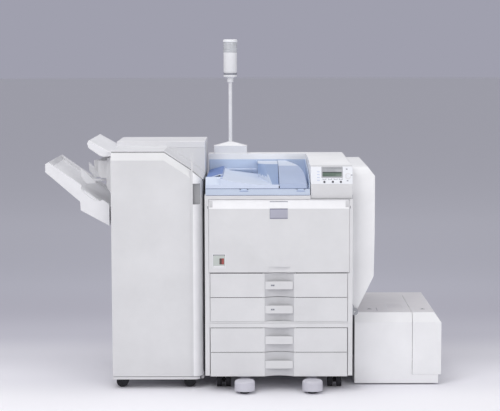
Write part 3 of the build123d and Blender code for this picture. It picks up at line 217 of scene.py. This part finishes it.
def glossy(name, colour, rough=0.12, coat=0.0, drift=0.02):
    """Smooth plastic or lacquer with faint orange peel."""
    material, shader = new_material(name)
    paint(material, shader, noise(material, 18, 2.0), 0.3, 0.7, drifting(colour, drift))
    shader.inputs["Coat Weight"].default_value = coat
    shader.inputs["Coat Roughness"].default_value = 0.08
    finish_with_grain(material, shader, 6.0, 0.05, rough + 0.05)
    return material


def clear_plastic(name, colour):
    """Clear ribbed lens plastic."""
    material, shader = new_material(name)
    paint(material, shader, noise(material, 30, 2.0), 0.3, 0.7, (shaded(colour, 0.97), colour))
    shader.inputs["Transmission Weight"].default_value = 0.4
    shader.inputs["IOR"].default_value = 1.45
    finish_with_grain(material, shader, 5.0, 0.05, 0.1)
    return material


def screen_glass(name):
    """Liquid crystal screen: dark green field with faint pixel rows."""
    material, shader = new_material(name)
    rows = noise(material, 700, 2.0, 0.5, (0.2, 1, 1))
    paint(material, shader, rows, 0.3, 0.7, ((88, 105, 94), (102, 119, 106)))
    shader.inputs["Coat Weight"].default_value = 0.3
    shader.inputs["Coat Roughness"].default_value = 0.1
    finish_with_grain(material, shader, 4.0, 0.04, 0.3)
    return material


# Colours in steps from 0 to 255
casing = moulded("casing_plastic", (216, 216, 218))
# Painted highlight: a lighter copy of the casing for the front door's band that leans up
painted_highlight_band = moulded("band_plastic", (243, 243, 245), 0.48)
# Painted highlight: a slightly lighter copy of the casing for the finisher door's chamfer band that leans
# up
painted_highlight_finisher_band = moulded("finisher_band_plastic", (221, 221, 223), 0.48)
casing_light = moulded("pale_casing_plastic", (228, 228, 231), 0.46)
cover_light = moulded("top_cover_plastic", (238, 238, 240), 0.46)
# Painted highlight: a lighter copy for the finisher door's right strip, which lies in shade
painted_highlight_edge = moulded("finisher_edge_painted_highlight", (243, 243, 245), 0.48)
casing_top = moulded("finisher_top_plastic", (221, 221, 224), 0.5)
# Painted shade: a darker copy for the slope of the finisher top cover
painted_shade_slope = moulded("finisher_slope_painted_shade", (212, 212, 215), 0.5)
duplex_grey = moulded("duplex_plastic", (236, 236, 238), 0.48)
# Painted shade: grey for the hollowed scoops of the tray fronts
painted_shade_scoop = moulded("scoop_painted_shade", (198, 198, 201), 0.52)
# Painted shade: grey for the inside of the finisher door's grip recess
painted_shade_grip = moulded("grip_painted_shade", (176, 176, 178), 0.55)
panel_plastic = moulded("panel_plastic", (235, 237, 242), 0.42, 0.7)
blue = moulded("blue_plastic", (196, 210, 233), 0.45)
blue_pale = moulded("pale_blue_plastic", (207, 216, 232), 0.45)
blue_wedge = moulded("wedge_blue_plastic", (174, 187, 213), 0.45)
blue_block = moulded("block_blue_plastic", (150, 170, 204), 0.45)
blue_strip = moulded("strip_blue_plastic", (194, 205, 223), 0.42)
blue_bright = moulded("blue_rim_plastic", (206, 215, 233), 0.4)
# Painted shade: deep blue for the shaded ledge at the left of the bridge cover and for the lines under the
# latch tabs
painted_shade_deep_blue = moulded("deep_blue_painted_shade", (104, 130, 186), 0.5)
# Painted shade: a darker grey for the feeder's top faces, which lie in shade under the printer's side
painted_shade_feeder_top = moulded("feeder_top_painted_shade", (223, 221, 224), 0.52)
box_grey = moulded("tray_box_plastic", (200, 201, 204), 0.55)
inner_grey = moulded("inner_cover_plastic", (112, 114, 119), 0.6)
dark_grey = moulded("dark_grey_plastic", (70, 71, 76), 0.55)
black = moulded("black_plastic", (24, 24, 28), 0.6)
cap_grey = moulded("stabilizer_plastic", (200, 199, 208), 0.5)
# Painted shade: grey for the door's grip slots and the top of the switch window
painted_shade_grey = moulded("shade_grey_plastic", (150, 149, 156), 0.6)
# Painted shade: dark blue for the seams across the bridge's front
painted_shade_seam_blue = moulded("blue_seam_painted_shade", (92, 104, 140), 0.6)
brown_rocker = moulded("brown_rocker_plastic", (92, 70, 68), 0.4)
red_rocker = moulded("red_rocker_plastic", (160, 84, 80), 0.4)
window_grey = moulded("window_plastic", (190, 196, 192), 0.5)
zinc = galvanised("zinc_plate", (168, 170, 174))
tread = rubber("caster_rubber", (26, 26, 30))
plate_white = glossy("white_plate_lacquer", (240, 240, 243), 0.25)
plate_grey = glossy("grey_plate_lacquer", (172, 172, 186), 0.3, 0.2)
plate_edge = glossy("plate_edge_lacquer", (120, 121, 140), 0.3)
mark_grey = glossy("mark_ink", (128, 130, 140), 0.4)
lamp_pale = glossy("pale_lamp_ink", (186, 196, 222), 0.3)
mark_dark = glossy("dark_mark_ink", (78, 78, 86), 0.4)
key_plastic = glossy("key_plastic", (88, 88, 94), 0.3)
bezel_grey = glossy("display_bezel_plastic", (176, 177, 181), 0.28)
screen = screen_glass("display_glass")
screen_pale = glossy("display_pale_rows", (170, 172, 176), 0.2, 0.3)
screen_line = glossy("display_dark_line", (58, 62, 62), 0.25)
drum_green = glossy("drum_coating", (40, 110, 112), 0.08, 0.6)
lens_clear = clear_plastic("lens_plastic", (236, 238, 242))
lens_core = moulded("lamp_core_plastic", (236, 237, 240), 0.35)


def dress(node, material):
    """Give a CAD node its material."""
    mesh = frame["nodes"][node].data
    mesh.materials.clear()
    mesh.materials.append(material)


# Casings with rounded edges
def body_of(node):
    """Name of the body that a CAD node rides on."""
    return frame["nodes"][node]["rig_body"]


def add_piece(name, mesh, body, material, smooth_angle=35):
    """New piece from a finished mesh, shaded smooth up to an angle, riding on a body."""
    piece = bpy.data.objects.new(name, mesh)
    bpy.context.scene.collection.objects.link(piece)
    mesh.materials.clear()
    mesh.materials.append(material)
    for face in mesh.polygons:
        face.use_smooth = True
    mesh.set_sharp_from_angle(angle=math.radians(smooth_angle))
    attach(piece, body)
    return piece


def rounded_casing(node, material, radius=1.5, segments=2, tints=()):
    """Copy of a CAD node with its edges rounded, which stands for the node.

    Each tint is a material and a test of a face's centre, in printer millimetres, and its normal."""
    mesh = frame["nodes"][node].data.copy()
    for extra in ("custom_normal", "UVMap"):
        if extra in mesh.attributes:
            mesh.attributes.remove(mesh.attributes[extra])
    work = bmesh.new()
    work.from_mesh(mesh)
    bmesh.ops.remove_doubles(work, verts=work.verts, dist=2e-5)
    bmesh.ops.dissolve_limit(work, angle_limit=math.radians(1), verts=work.verts, edges=work.edges)
    work.to_mesh(mesh)
    work.free()
    piece = add_piece(f"{node}_shell", mesh, body_of(node), material)
    for number, (tint, belongs) in enumerate(tints, start=1):
        mesh.materials.append(tint)
        for face in mesh.polygons:
            centre = (face.center - corner) / mm
            if belongs(centre, face.normal):
                face.material_index = number
    if radius > 0:
        bevel = piece.modifiers.new("rounded_edges", "BEVEL")
        bevel.width = radius * mm
        bevel.segments = segments
        bevel.limit_method = "ANGLE"
        bevel.angle_limit = math.radians(30)
        bevel.harden_normals = True
    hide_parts(node)
    return piece


tray_names = ("tray_1", "tray_2", "tray_3", "tray_4")
scoop_low = 228
scoop_high = 356
scoop_depths = (1.5, 20)


def in_scoop(centre, normal):
    """True for the hollowed faces in the middle of a tray front."""
    inside = scoop_low < centre.x < scoop_high and scoop_depths[0] < centre.y < scoop_depths[1]
    return inside and normal.y < -0.2


# The scoops of the tray fronts take a darker grey, painted shade in the hollow
for tray in tray_names:
    rounded_casing(f"{tray}_front", casing, 1.0, 2, [(painted_shade_scoop, in_scoop)])
    dress(f"{tray}_box", box_grey)
# The door's band that leans up takes the lighter copy, a painted highlight
front_door_tints = [(painted_highlight_band, lambda c, n: n.y < -0.8 and 0.1 < n.z < 0.5)]
rounded_casing("front_door", casing, 1.0, 2, front_door_tints)
rounded_casing("front_frame", casing, 1.2)
rounded_casing("bank_frame", casing, 0)
rounded_casing("top_cover", cover_light, 2.0, 3)
control_panel_tints = [(panel_plastic, lambda c, n: n.y < -0.5 and n.z > 0.05)]
rounded_casing("control_panel", casing, 1.5, 3, control_panel_tints)
rounded_casing("duplex_unit", duplex_grey, 2.5, 3)
rounded_casing("bypass_tray", casing, 1.2)
# Top faces of the feeder take the darker grey, painted shade
for node in ("lct_case", "lct_cover"):
    rounded_casing(node, duplex_grey, 2.0, 3, [(painted_shade_feeder_top, lambda c, n: n.z > 0.8)])
edge_seam_x = -56.5
grip_x = (-53, -13)
grip_z = (738, 822)
grip_y = 57


def in_grip(centre, normal):
    """True for the faces inside the finisher door's grip recess."""
    across = grip_x[0] < centre.x < grip_x[1]
    return across and grip_z[0] < centre.z < grip_z[1] and centre.y > grip_y


finisher_door_tints = (
    # Chamfer band that leans up: painted highlight
    (painted_highlight_finisher_band, lambda c, n: n.y < -0.3 and n.z > 0.2),
    # Right strip beyond the seam: painted highlight against its shade
    (painted_highlight_edge, lambda c, n: c.x > edge_seam_x and n.x > 0.05 and n.z < 0.2),
    # Inside of the grip recess: painted shade
    (painted_shade_grip, in_grip),
)
rounded_casing("finisher_door", casing, 1.5, 2, finisher_door_tints)
# Slope that faces right and up: painted shade
finisher_top_tints = [(painted_shade_slope, lambda c, n: n.x > 0.3 and n.z > 0.3)]
rounded_casing("finisher_top_cover", casing_top, 2.0, 3, finisher_top_tints)
rounded_casing("finisher_frame", casing, 1.0)
for node in ("proof_tray", "shift_tray"):
    rounded_casing(node, casing_light, 3.0, 3)
for node in ("jogger_fin_front", "jogger_fin_rear", "tower_base"):
    rounded_casing(node, casing_light, 2.0, 3)
rounded_casing("output_tray", blue, 0.6)
rim_y = 10
ledge_right = 72
ledge_low = 842
block_left = 208
block_low = 826
bridge_cover_tints = (
    (blue_bright, lambda c, n: c.y < rim_y and n.y < -0.8),
    # Ledge at the left of the bridge cover: painted shade
    (painted_shade_deep_blue, lambda c, n: c.x < ledge_right and c.z > ledge_low and n.z > 0.3),
    (blue_block, lambda c, n: c.x > block_left and c.z > block_low and n.y < -0.2),
)
rounded_casing("bridge_unit", blue_strip, 0.8)
rounded_casing("bridge_cover", blue_pale, 1.5, 3, bridge_cover_tints)
exit_crease_y = 360
exit_cover_tints = [(blue_pale, lambda c, n: n.z > 0.5 and c.y > exit_crease_y)]
rounded_casing("exit_cover", blue_wedge, 2.0, 3, exit_cover_tints)
rounded_casing("stabilizers", cap_grey, 1.0)

plain_nodes = {
    "engine_frame": zinc, "left_cover": casing, "rear_cover": casing, "power_inlet": black,
    "inner_cover": inner_grey, "laser_unit": black, "fuser_unit": dark_grey, "display": screen,
    "tower_pole": casing_light, "tower_light": casing_light, "leveling_feet": black, "caster_forks": black,
    "toner_bottle": dark_grey, "drum": drum_green, "key_left": key_plastic, "key_middle": key_plastic,
    "key_right": key_plastic, "cursor_key": panel_plastic, "lct_plate": zinc,
    "swivel_fork_left": black, "swivel_fork_right": black, "front_wheel_left": tread,
    "front_wheel_right": tread, "rear_wheel_left": tread, "rear_wheel_right": tread,
}
for node, material in plain_nodes.items():
    dress(node, material)
for number in range(1, 5):
    dress(f"finisher_wheel_{number}", tread)


# Small fittings, placed in printer millimetres
def rounded_outline(width, height, radius, steps=5):
    """Points of a rounded rectangle about the origin, in millimetres."""
    radius = min(radius, width / 2 - 0.01, height / 2 - 0.01)
    points = []
    for centre_x, centre_y, start in (
        (width / 2 - radius, height / 2 - radius, 0),
        (-width / 2 + radius, height / 2 - radius, 90),
        (-width / 2 + radius, -height / 2 + radius, 180),
        (width / 2 - radius, -height / 2 + radius, 270),
    ):
        for step in range(steps + 1):
            angle = math.radians(start + 90 * step / steps)
            points.append((centre_x + radius * math.cos(angle), centre_y + radius * math.sin(angle)))
    return points


def facing(centre, right, up):
    """Placement with its local x to the right, y up and z out of a surface, at a place in millimetres."""
    x_axis = Vector(right).normalized()
    out = x_axis.cross(Vector(up)).normalized()
    y_axis = out.cross(x_axis)
    turn = Matrix((x_axis, y_axis, out)).transposed().to_4x4()
    return Matrix.Translation(at(*centre)) @ turn @ Matrix.Scale(mm, 4)


def on_front(x, z, y=0.0):
    """Placement on an upright surface that looks to the front."""
    return facing((x, y, z), (1, 0, 0), (0, 0, 1))


def on_top(x, y, z):
    """Placement on a level surface."""
    return facing((x, y, z), (1, 0, 0), (0, 1, 0))


def ring_faces(work, low, high):
    """Faces between two rings of vertices."""
    count = len(low)
    for index in range(count):
        after = (index + 1) % count
        work.faces.new((low[index], low[after], high[after], high[index]))


def join_rings(work, rings):
    """Faces from each ring of vertices to the next."""
    for low, high in zip(rings, rings[1:]):
        ring_faces(work, low, high)


def piece_from(work, name, body, material):
    """New piece from the mesh that has been built."""
    mesh = bpy.data.meshes.new(name)
    work.to_mesh(mesh)
    work.free()
    return add_piece(name, mesh, body, material)


def plate(name, place, size, radius, rise, body, material, edge=0.3):
    """Rounded plate with softened rim that stands a little proud of its surface."""
    work = bmesh.new()
    rings = []
    for inset, height in ((0, -0.2), (0, rise - edge), (edge * 0.3, rise - edge * 0.3), (edge, rise)):
        outline = rounded_outline(size[0] - 2 * inset, size[1] - 2 * inset, max(radius - inset, 0.05))
        rings.append([work.verts.new(place @ Vector((x, y, height))) for x, y in outline])
    join_rings(work, rings)
    work.faces.new(rings[-1])
    return piece_from(work, name, body, material)


def bezel(name, place, outer, inner, radius, rise, body, material, edge=0.4):
    """Frame between two rounded rectangles, with softened rims."""
    work = bmesh.new()
    profile = (
        (outer, 0, -0.2), (outer, 0, rise - edge), (outer, edge, rise),
        (inner, -edge, rise), (inner, 0, rise - edge), (inner, 0, -0.2),
    )
    rings = []
    for size, inset, height in profile:
        outline = rounded_outline(size[0] - 2 * inset, size[1] - 2 * inset, max(radius - inset, 0.3))
        rings.append([work.verts.new(place @ Vector((x, y, height))) for x, y in outline])
    join_rings(work, rings)
    return piece_from(work, name, body, material)


def turned_piece(name, centre, profile, body, material, steps=48):
    """Piece turned about an upright axis from its outline in radius and height, in millimetres."""
    work = bmesh.new()
    rings = []
    for radius, height in profile:
        ring = []
        for step in range(steps):
            angle = 2 * math.pi * step / steps
            x = centre[0] + radius * math.cos(angle)
            y = centre[1] + radius * math.sin(angle)
            ring.append(work.verts.new(at(x, y, height)))
        rings.append(ring)
    join_rings(work, rings)
    bmesh.ops.remove_doubles(work, verts=work.verts, dist=1e-6)
    bmesh.ops.recalc_face_normals(work, faces=work.faces)
    return piece_from(work, name, body, material)


def digit(name, text, place, height, body, material):
    """Flat printed digit."""
    curve = bpy.data.curves.new(name, "FONT")
    curve.body = text
    curve.size = height * 1.4
    curve.extrude = 0.06
    curve.align_x = "CENTER"
    curve.align_y = "CENTER"
    writer = bpy.data.objects.new(f"{name}_curve", curve)
    bpy.context.scene.collection.objects.link(writer)
    bpy.context.view_layer.update()
    shown = writer.evaluated_get(bpy.context.evaluated_depsgraph_get())
    mesh = bpy.data.meshes.new_from_object(shown)
    mesh.name = name
    mesh.transform(place)
    bpy.data.objects.remove(writer)
    return add_piece(name, mesh, body, material)


def triangle(name, place, size, body, material):
    """Small flat arrow mark."""
    work = bmesh.new()
    low = []
    high = []
    for angle in (90, 210, 330):
        x = size / 2 * math.cos(math.radians(angle))
        y = size / 2 * math.sin(math.radians(angle))
        low.append(work.verts.new(place @ Vector((x, y, 0))))
        high.append(work.verts.new(place @ Vector((x * 0.94, y * 0.94, 0.12))))
    ring_faces(work, low, high)
    work.faces.new(high)
    return piece_from(work, name, body, material)


def ribbon(name, points, width, thickness, body, material):
    """Flat strip along points, in millimetres, that looks to the front and is cut square at its ends."""
    work = bmesh.new()
    rings = []
    for index, (x, y, z) in enumerate(points):
        before = Vector(points[max(index - 1, 0)])
        after = Vector(points[min(index + 1, len(points) - 1)])
        run = (after - before).normalized()
        side = Vector((-run.z, 0, run.x)).normalized() * width / 2
        ring = []
        for across, depth in ((1, 0), (1, 1), (-1, 1), (-1, 0)):
            ring.append(work.verts.new(at(x + side.x * across, y + thickness * depth, z + side.z * across)))
        rings.append(ring)
    join_rings(work, rings)
    work.faces.new(rings[0])
    work.faces.new(rings[-1])
    bmesh.ops.recalc_face_normals(work, faces=work.faces)
    return piece_from(work, name, body, material)


# Strips of painted shade that darken the gaps between the casings
finisher_painted_gap_shade_y = 80.4
finisher_painted_gap_shade = [(x, finisher_painted_gap_shade_y, z) for x, z in ((-370, 941), (-163, 941), (-59, 872.5), (-10, 831.5))]
ribbon("finisher_top_painted_gap_shade", finisher_painted_gap_shade, 6, 3, "printer", black)
docking_painted_gap_shade = [(-4, 78, z) for z in (66, 836)]
ribbon("docking_painted_gap_shade", docking_painted_gap_shade, 6.6, 6, "printer", black)
tray_painted_gap_shade_heights = (2.0, 1.5, 1.6, 1.4)
tray_painted_gap_shade_runs = {"left": (23, scoop_low - 2), "right": (scoop_high + 2, 557)}
for tray, height in zip(tray_names, tray_painted_gap_shade_heights):
    painted_gap_shade_z = box_mm(f"{tray}_front")[1].z + height / 2
    for side, run in tray_painted_gap_shade_runs.items():
        ribbon(f"{tray}_{side}_painted_gap_shade", [(x, 3, painted_gap_shade_z) for x in run], height, 14, tray, black)
# Dark blue strips in the bridge's seams: painted shade
bridge_painted_gap_shades = {"seam": (410, 805.6), "foot": (411, 779.8)}
for name, (x_high, z) in bridge_painted_gap_shades.items():
    ribbon(f"bridge_{name}_painted_gap_shade", [(x, 1.4, z) for x in (6, x_high)], 1.6, 0.8, "printer", painted_shade_seam_blue)
# Black notch in the front of the bridge cover: painted shade
plate("bridge_cover_notch_painted_shade", on_front(292, 812, 1.8), (4, 8), 1.5, 0.5, "printer", black, 0.1)

# Front door: bare nameplate, its thin edges, and the window with the mains switch
band_height = 35.5
band_bottom = box_mm("front_door")[1].z - band_height
band_lean = 8 / band_height
plate_x = 290
plate_width = 70
plate_z = 708
plate_line = 1.4


def on_band(x, z):
    """Placement on the door's leaning top band."""
    y = (z - band_bottom) * band_lean
    return facing((x, y, z), (1, 0, 0), (0, band_lean, 1))


plate("nameplate_upper", on_band(plate_x, 741), (plate_width, 25), 1, 1.0, "front_door", plate_white)
edge_place = on_band(plate_x, 754)
plate("nameplate_top_edge", edge_place, (plate_width, 2.2), 0.4, 1.3, "front_door", plate_edge)
plate("nameplate_lower", on_front(plate_x, plate_z), (plate_width, 38), 1, 1.0, "front_door", plate_grey)
for name, z in (("upper", 726), ("lower", 689.5)):
    place = on_front(plate_x, z)
    plate(f"nameplate_{name}_line", place, (plate_width, 3.2), 0.4, 1.3, "front_door", plate_edge)
place = on_front(plate_x - (plate_width - plate_line) / 2, plate_z)
plate("nameplate_left_line", place, (plate_line, 36), 0.4, 1.2, "front_door", plate_edge)
# Grey plates in the grip slots at the ends of the door's band: painted shade
for side, x in (("left", 12.5), ("right", 569.5)):
    plate(f"grip_slot_painted_shade_{side}", on_band(x, 742), (3, 29), 1, 0.4, "front_door", painted_shade_grey, 0.1)

switch_x = 56
switch_z = 521
switch_field = (46, 52)
rocker_size = (9, 24)


def on_switch(x=0, z=0):
    """Placement by its distance from the middle of the switch window."""
    return on_front(switch_x + x, switch_z + z)


bezel("switch_window_rim", on_switch(), (52, 58), switch_field, 2, 1.0, "front_door", casing_light)
plate("switch_window", on_switch(), switch_field, 1, 0.2, "front_door", window_grey, 0.1)
# Grey strip at the top of the switch window: painted shade under its rim
plate("switch_window_shade", on_switch(0, 24), (switch_field[0], 3), 0.5, 0.5, "front_door", painted_shade_grey)
plate("switch_rocker_left", on_switch(6, -1), rocker_size, 1, 0.9, "front_door", brown_rocker)
plate("switch_rocker_right", on_switch(15, -1), rocker_size, 1, 0.9, "front_door", red_rocker)
plate("switch_sill", on_switch(0, -22), (44, 7), 1, 0.7, "front_door", casing_light)
for sign in (-1, 1):
    plate(f"switch_pin_{sign + 2}", on_switch(sign * 23, 24), (5, 5), 2.5, 0.8, "front_door", mark_dark)

# Tray fronts: a field with a number on the two upper handles
mark_x = 266
mark_rise = 46.75
for number, tray in enumerate(tray_names[:2], start=1):
    mark_z = box_mm(f"{tray}_front")[0].z + mark_rise
    field_place = on_front(mark_x, mark_z, -0.05)
    plate(f"{tray}_mark_field", field_place, (14, 6), 1, 0.25, tray, mark_grey, 0.08)
    digit(f"{tray}_number", str(number), on_front(mark_x, mark_z, -0.32), 4, tray, plate_white)

# Control panel: display, its frame, lamps, marks and keys
display_low, display_high = box_mm("display")
panel_lip = 824
panel_lean = 12 / 67


def on_panel(x, z):
    """Placement on the panel's leaning face."""
    y = (z - panel_lip) * panel_lean
    return facing((x, y, z), (1, 0, 0), (0, panel_lean, 1))


display_x = (display_low.x + display_high.x) / 2
display_z = (display_low.z + display_high.z) / 2
display_width = display_high.x - display_low.x
screen_width = display_width - 3
bezel(
    "display_bezel", on_panel(display_x, display_z), (display_width + 5, 44), (screen_width, 34),
    2, 1.2, "printer", bezel_grey,
)
screen_rows = (
    ("display_pale_rows", 8.6, 15, 0.5, 0.2, screen_pale),
    ("display_dark_line", 0.2, 2.4, 0.3, 0.3, screen_line),
    ("display_green_rows", -9, 16, 0.5, 0.2, screen),
)
for name, rise, height, radius, proud, material in screen_rows:
    place = on_panel(display_x, display_z + rise)
    plate(name, place, (screen_width, height), radius, proud, "printer", material, 0.1)

soft_key_x = (468, 490, 512, 532)
tick_reach = 6
tick_drop = 26.5
line_drop = 28.5
for number, x in enumerate(soft_key_x):
    for side in (-tick_reach, tick_reach):
        place = on_panel(x + side, display_z - tick_drop)
        tick_name = f"soft_key_tick_{number}_{side + 7}"
        plate(tick_name, place, (1.2, 5), 0.3, 0.2, "printer", mark_grey, 0.08)
    place = on_panel(x, display_z - line_drop)
    plate(f"soft_key_line_{number}", place, (12, 1.2), 0.3, 0.2, "printer", mark_grey, 0.08)
status_x = 442
icon_x = 447
status_low = 838
status_pitch = 11
for number in range(4):
    lamp_z = status_low + number * status_pitch
    plate(f"status_lamp_{number}", on_panel(status_x, lamp_z), (4, 3), 1, 0.4, "printer", lamp_pale, 0.15)
    plate(f"status_icon_{number}", on_panel(icon_x, lamp_z), (3, 5), 0.5, 0.2, "printer", lamp_pale, 0.08)
right_marks = {"menu": (555, 881), "escape": (574, 858), "enter": (558, 836)}
for name, (x, z) in right_marks.items():
    plate(f"{name}_mark", on_panel(x, z), (7, 3.4), 0.8, 0.2, "printer", mark_grey, 0.08)
bezel("cursor_ring", on_panel(560, 854), (24, 24), (17, 17), 8.5, 0.5, "printer", casing_light)

# Blue bridge: latch tabs with their shade lines, and the ridge at the back of its cover
latch_x = (154, 376)
bridge_front_y = 2
for number, x in enumerate(latch_x):
    tab_place = on_front(x, 801, bridge_front_y)
    plate(f"latch_tab_{number}", tab_place, (24, 7), 1.5, 1.2, "printer", blue)
    # Deep blue line under each latch tab: painted shade
    line_place = on_front(x, 796, bridge_front_y)
    plate(f"latch_painted_shade_line_{number}", line_place, (34, 1.6), 0.5, 0.6, "printer", painted_shade_deep_blue, 0.2)
plate("bridge_rear_ridge", on_top(140, 532, 839), (128, 8), 3, 5, "bridge_cover", blue_bright, 1.5)

# Feeder top: bare label place, arrow marks and a row of ticks
feeder_top = box_mm("lct_case")[1].z
label_place = on_top(770, 276, feeder_top)
label_size = (64, 150)
# The label place takes the feeder top's painted shade
plate("feeder_label_place", label_place, label_size, 2, 0.3, "side_feeder", painted_shade_feeder_top, 0.1)
bezel("feeder_label_rim", label_place, (68, 154), label_size, 3, 0.4, "side_feeder", casing_light, 0.1)
arrow_size = 26
tick_pitch = 18
triangle("feeder_arrow_left", on_top(662, 233, feeder_top), arrow_size, "side_feeder", mark_dark)
triangle("feeder_arrow_right", on_top(879, 231, feeder_top), arrow_size, "side_feeder_cover", mark_dark)
for number in range(4):
    place = on_top(692, 200 + number * tick_pitch, feeder_top)
    plate(f"feeder_tick_{number}", place, (5, 8), 0.8, 0.2, "side_feeder", mark_grey, 0.08)

# Attention light: clear ribbed lens with its cap over a lamp core, and a grey band round the lamp that is
# painted shade in its groove
lens_low, lens_high = box_mm("tower_lens")
lens_centre = ((lens_low.x + lens_high.x) / 2, (lens_low.y + lens_high.y) / 2)
lens_foot = lens_low.z
lens_top = lens_high.z
lens_radius = (lens_high.x - lens_low.x) / 2
lens_wall = (25, 28.5)
rib_count = 4
rib_pitch = 10
rib_radius = 29.6
core_radii = (20, 22)
axis = 0.1
cap_axis = 0.001
cap_z = lens_top - 11
core_top = lens_top - 14

core_profile = [(axis, lens_foot), (core_radii[0], lens_foot)]
shell_profile = [(lens_wall[0], lens_foot), (lens_wall[1], lens_foot)]
for number in range(rib_count):
    ring_z = lens_foot + 4 + number * rib_pitch
    rib_z = ring_z - 2
    for radius, rise in ((core_radii[0], 0), (core_radii[1], 1), (core_radii[1], 5), (core_radii[0], 6)):
        core_profile.append((radius, ring_z + rise))
    for radius, rise in ((lens_wall[1], 0), (rib_radius, 2), (rib_radius, 6), (lens_wall[1], 8)):
        shell_profile.append((radius, rib_z + rise))
core_profile += [(core_radii[0], core_top), (axis, core_top)]
shell_profile += [(lens_wall[1], cap_z), (lens_wall[0], cap_z), (lens_wall[0], lens_foot)]
cap_profile = [
    (cap_axis, cap_z), (lens_radius - 1, cap_z), (lens_radius, cap_z + 1),
    (lens_radius, lens_top - 3), (lens_radius - 3, lens_top), (cap_axis, lens_top),
]
# Grey band in the groove round the lamp: painted shade
groove_shade_z = box_mm("tower_light")[0].z + 31
groove_shade_radii = (28.2, 28.7)
groove_shade_profile = [
    (groove_shade_radii[0], groove_shade_z), (groove_shade_radii[1], groove_shade_z + 1),
    (groove_shade_radii[1], groove_shade_z + 6), (groove_shade_radii[0], groove_shade_z + 7),
]
turned_piece("lamp_core", lens_centre, core_profile, "printer", lens_core)
shell = turned_piece("lens_shell", lens_centre, shell_profile, "printer", lens_clear)
cap = turned_piece("lens_cap", lens_centre, cap_profile, "printer", lens_core)
for piece in (shell, cap):
    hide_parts("tower_lens")
turned_piece("lamp_groove_painted_shade", lens_centre, groove_shade_profile, "printer", mark_grey)


# Floor in metres, with its colour by distance behind the row's middle: painted shade that darkens it behind
# the object
floor_radius = 60
floor_ramp_front = -2
floor_ramp_back = 10
floor_painted_shades = (
    (-2.0, (250, 249, 253)), (-0.45, (248, 247, 252)), (-0.05, (236, 235, 242)), (0.45, (216, 215, 223)),
    (0.95, (199, 198, 209)), (1.6, (190, 189, 201)), (2.6, (196, 196, 208)), (6.0, (212, 212, 224)),
)


def make_floor():
    """Pale floor with painted shade that darkens it to grey lavender behind the object."""
    work = bmesh.new()
    bmesh.ops.create_circle(work, cap_ends=True, segments=96, radius=floor_radius)
    mesh = bpy.data.meshes.new("floor")
    work.to_mesh(mesh)
    work.free()
    floor = bpy.data.objects.new("floor", mesh)
    bpy.context.scene.collection.objects.link(floor)
    material, shader = new_material("studio_paper")
    nodes = material.node_tree.nodes
    links = material.node_tree.links
    shader.inputs["Roughness"].default_value = 0.7
    shader.inputs["Specular IOR Level"].default_value = 0.25
    place = nodes.new("ShaderNodeTexCoord")
    split = nodes.new("ShaderNodeSeparateXYZ")
    links.new(place.outputs["Object"], split.inputs["Vector"])
    scaled = nodes.new("ShaderNodeMapRange")
    scaled.inputs["From Min"].default_value = floor_ramp_front
    scaled.inputs["From Max"].default_value = floor_ramp_back
    links.new(split.outputs["Y"], scaled.inputs["Value"])
    ramp = nodes.new("ShaderNodeValToRGB")
    ramp.color_ramp.interpolation = "EASE"
    stops = ramp.color_ramp.elements
    while len(stops) < len(floor_painted_shades):
        stops.new(0.5)
    span = floor_ramp_back - floor_ramp_front
    for index, (depth, colour) in enumerate(floor_painted_shades):
        stops[index].position = (depth - floor_ramp_front) / span
    for index, (depth, colour) in enumerate(floor_painted_shades):
        stops[index].color = linear(colour)
    links.new(scaled.outputs["Result"], ramp.inputs["Fac"])
    links.new(ramp.outputs["Color"], shader.inputs["Base Color"])
    mesh.materials.append(material)


make_floor()


# Lamps and ambient light
def area_lamp(name, place, target, size, watts):
    """Soft area lamp aimed at a point."""
    data = bpy.data.lights.new(name, "AREA")
    data.shape = "RECTANGLE"
    data.size = size[0]
    data.size_y = size[1]
    data.energy = watts
    lamp = bpy.data.objects.new(name, data)
    bpy.context.scene.collection.objects.link(lamp)
    lamp.location = place
    lamp.rotation_euler = (Vector(target) - Vector(place)).to_track_quat("-Z", "Y").to_euler()


row_middle = (0, 0, 0.6)
area_lamp("key_lamp", (-2.2, -3.2, 4.2), row_middle, (3, 3), 84)
area_lamp("fill_lamp", (3.2, -4.5, 2.2), row_middle, (3, 2.5), 62)
area_lamp("top_lamp", (-0.3, 0.3, 4.6), (0, 0, 0), (4, 3), 60)


ambient_strength = 0.52
distance_colour = (160, 160, 174)


def make_world():
    """Even ambient light, seen directly, in gloss and through the lens as a grey-lavender distance."""
    world = bpy.data.worlds.new("studio_air")
    bpy.context.scene.world = world
    world.use_nodes = True
    nodes = world.node_tree.nodes
    links = world.node_tree.links
    air = nodes["Background"]
    air.inputs["Color"].default_value = (0.98, 0.98, 1, 1)
    air.inputs["Strength"].default_value = ambient_strength
    distance = nodes.new("ShaderNodeBackground")
    distance.inputs["Color"].default_value = linear(distance_colour)
    distance.inputs["Strength"].default_value = 1
    rays = nodes.new("ShaderNodeLightPath")
    through = nodes.new("ShaderNodeMath")
    through.operation = "MAXIMUM"
    links.new(rays.outputs["Is Glossy Ray"], through.inputs[0])
    links.new(rays.outputs["Is Transmission Ray"], through.inputs[1])
    seen = nodes.new("ShaderNodeMath")
    seen.operation = "MAXIMUM"
    links.new(rays.outputs["Is Camera Ray"], seen.inputs[0])
    links.new(through.outputs["Value"], seen.inputs[1])
    choice = nodes.new("ShaderNodeMixShader")
    links.new(seen.outputs["Value"], choice.inputs["Fac"])
    links.new(air.outputs["Background"], choice.inputs[1])
    links.new(distance.outputs["Background"], choice.inputs[2])
    links.new(choice.outputs["Shader"], nodes["World Output"].inputs["Surface"])


make_world()
bpy.context.scene.view_settings.view_transform = "Standard"
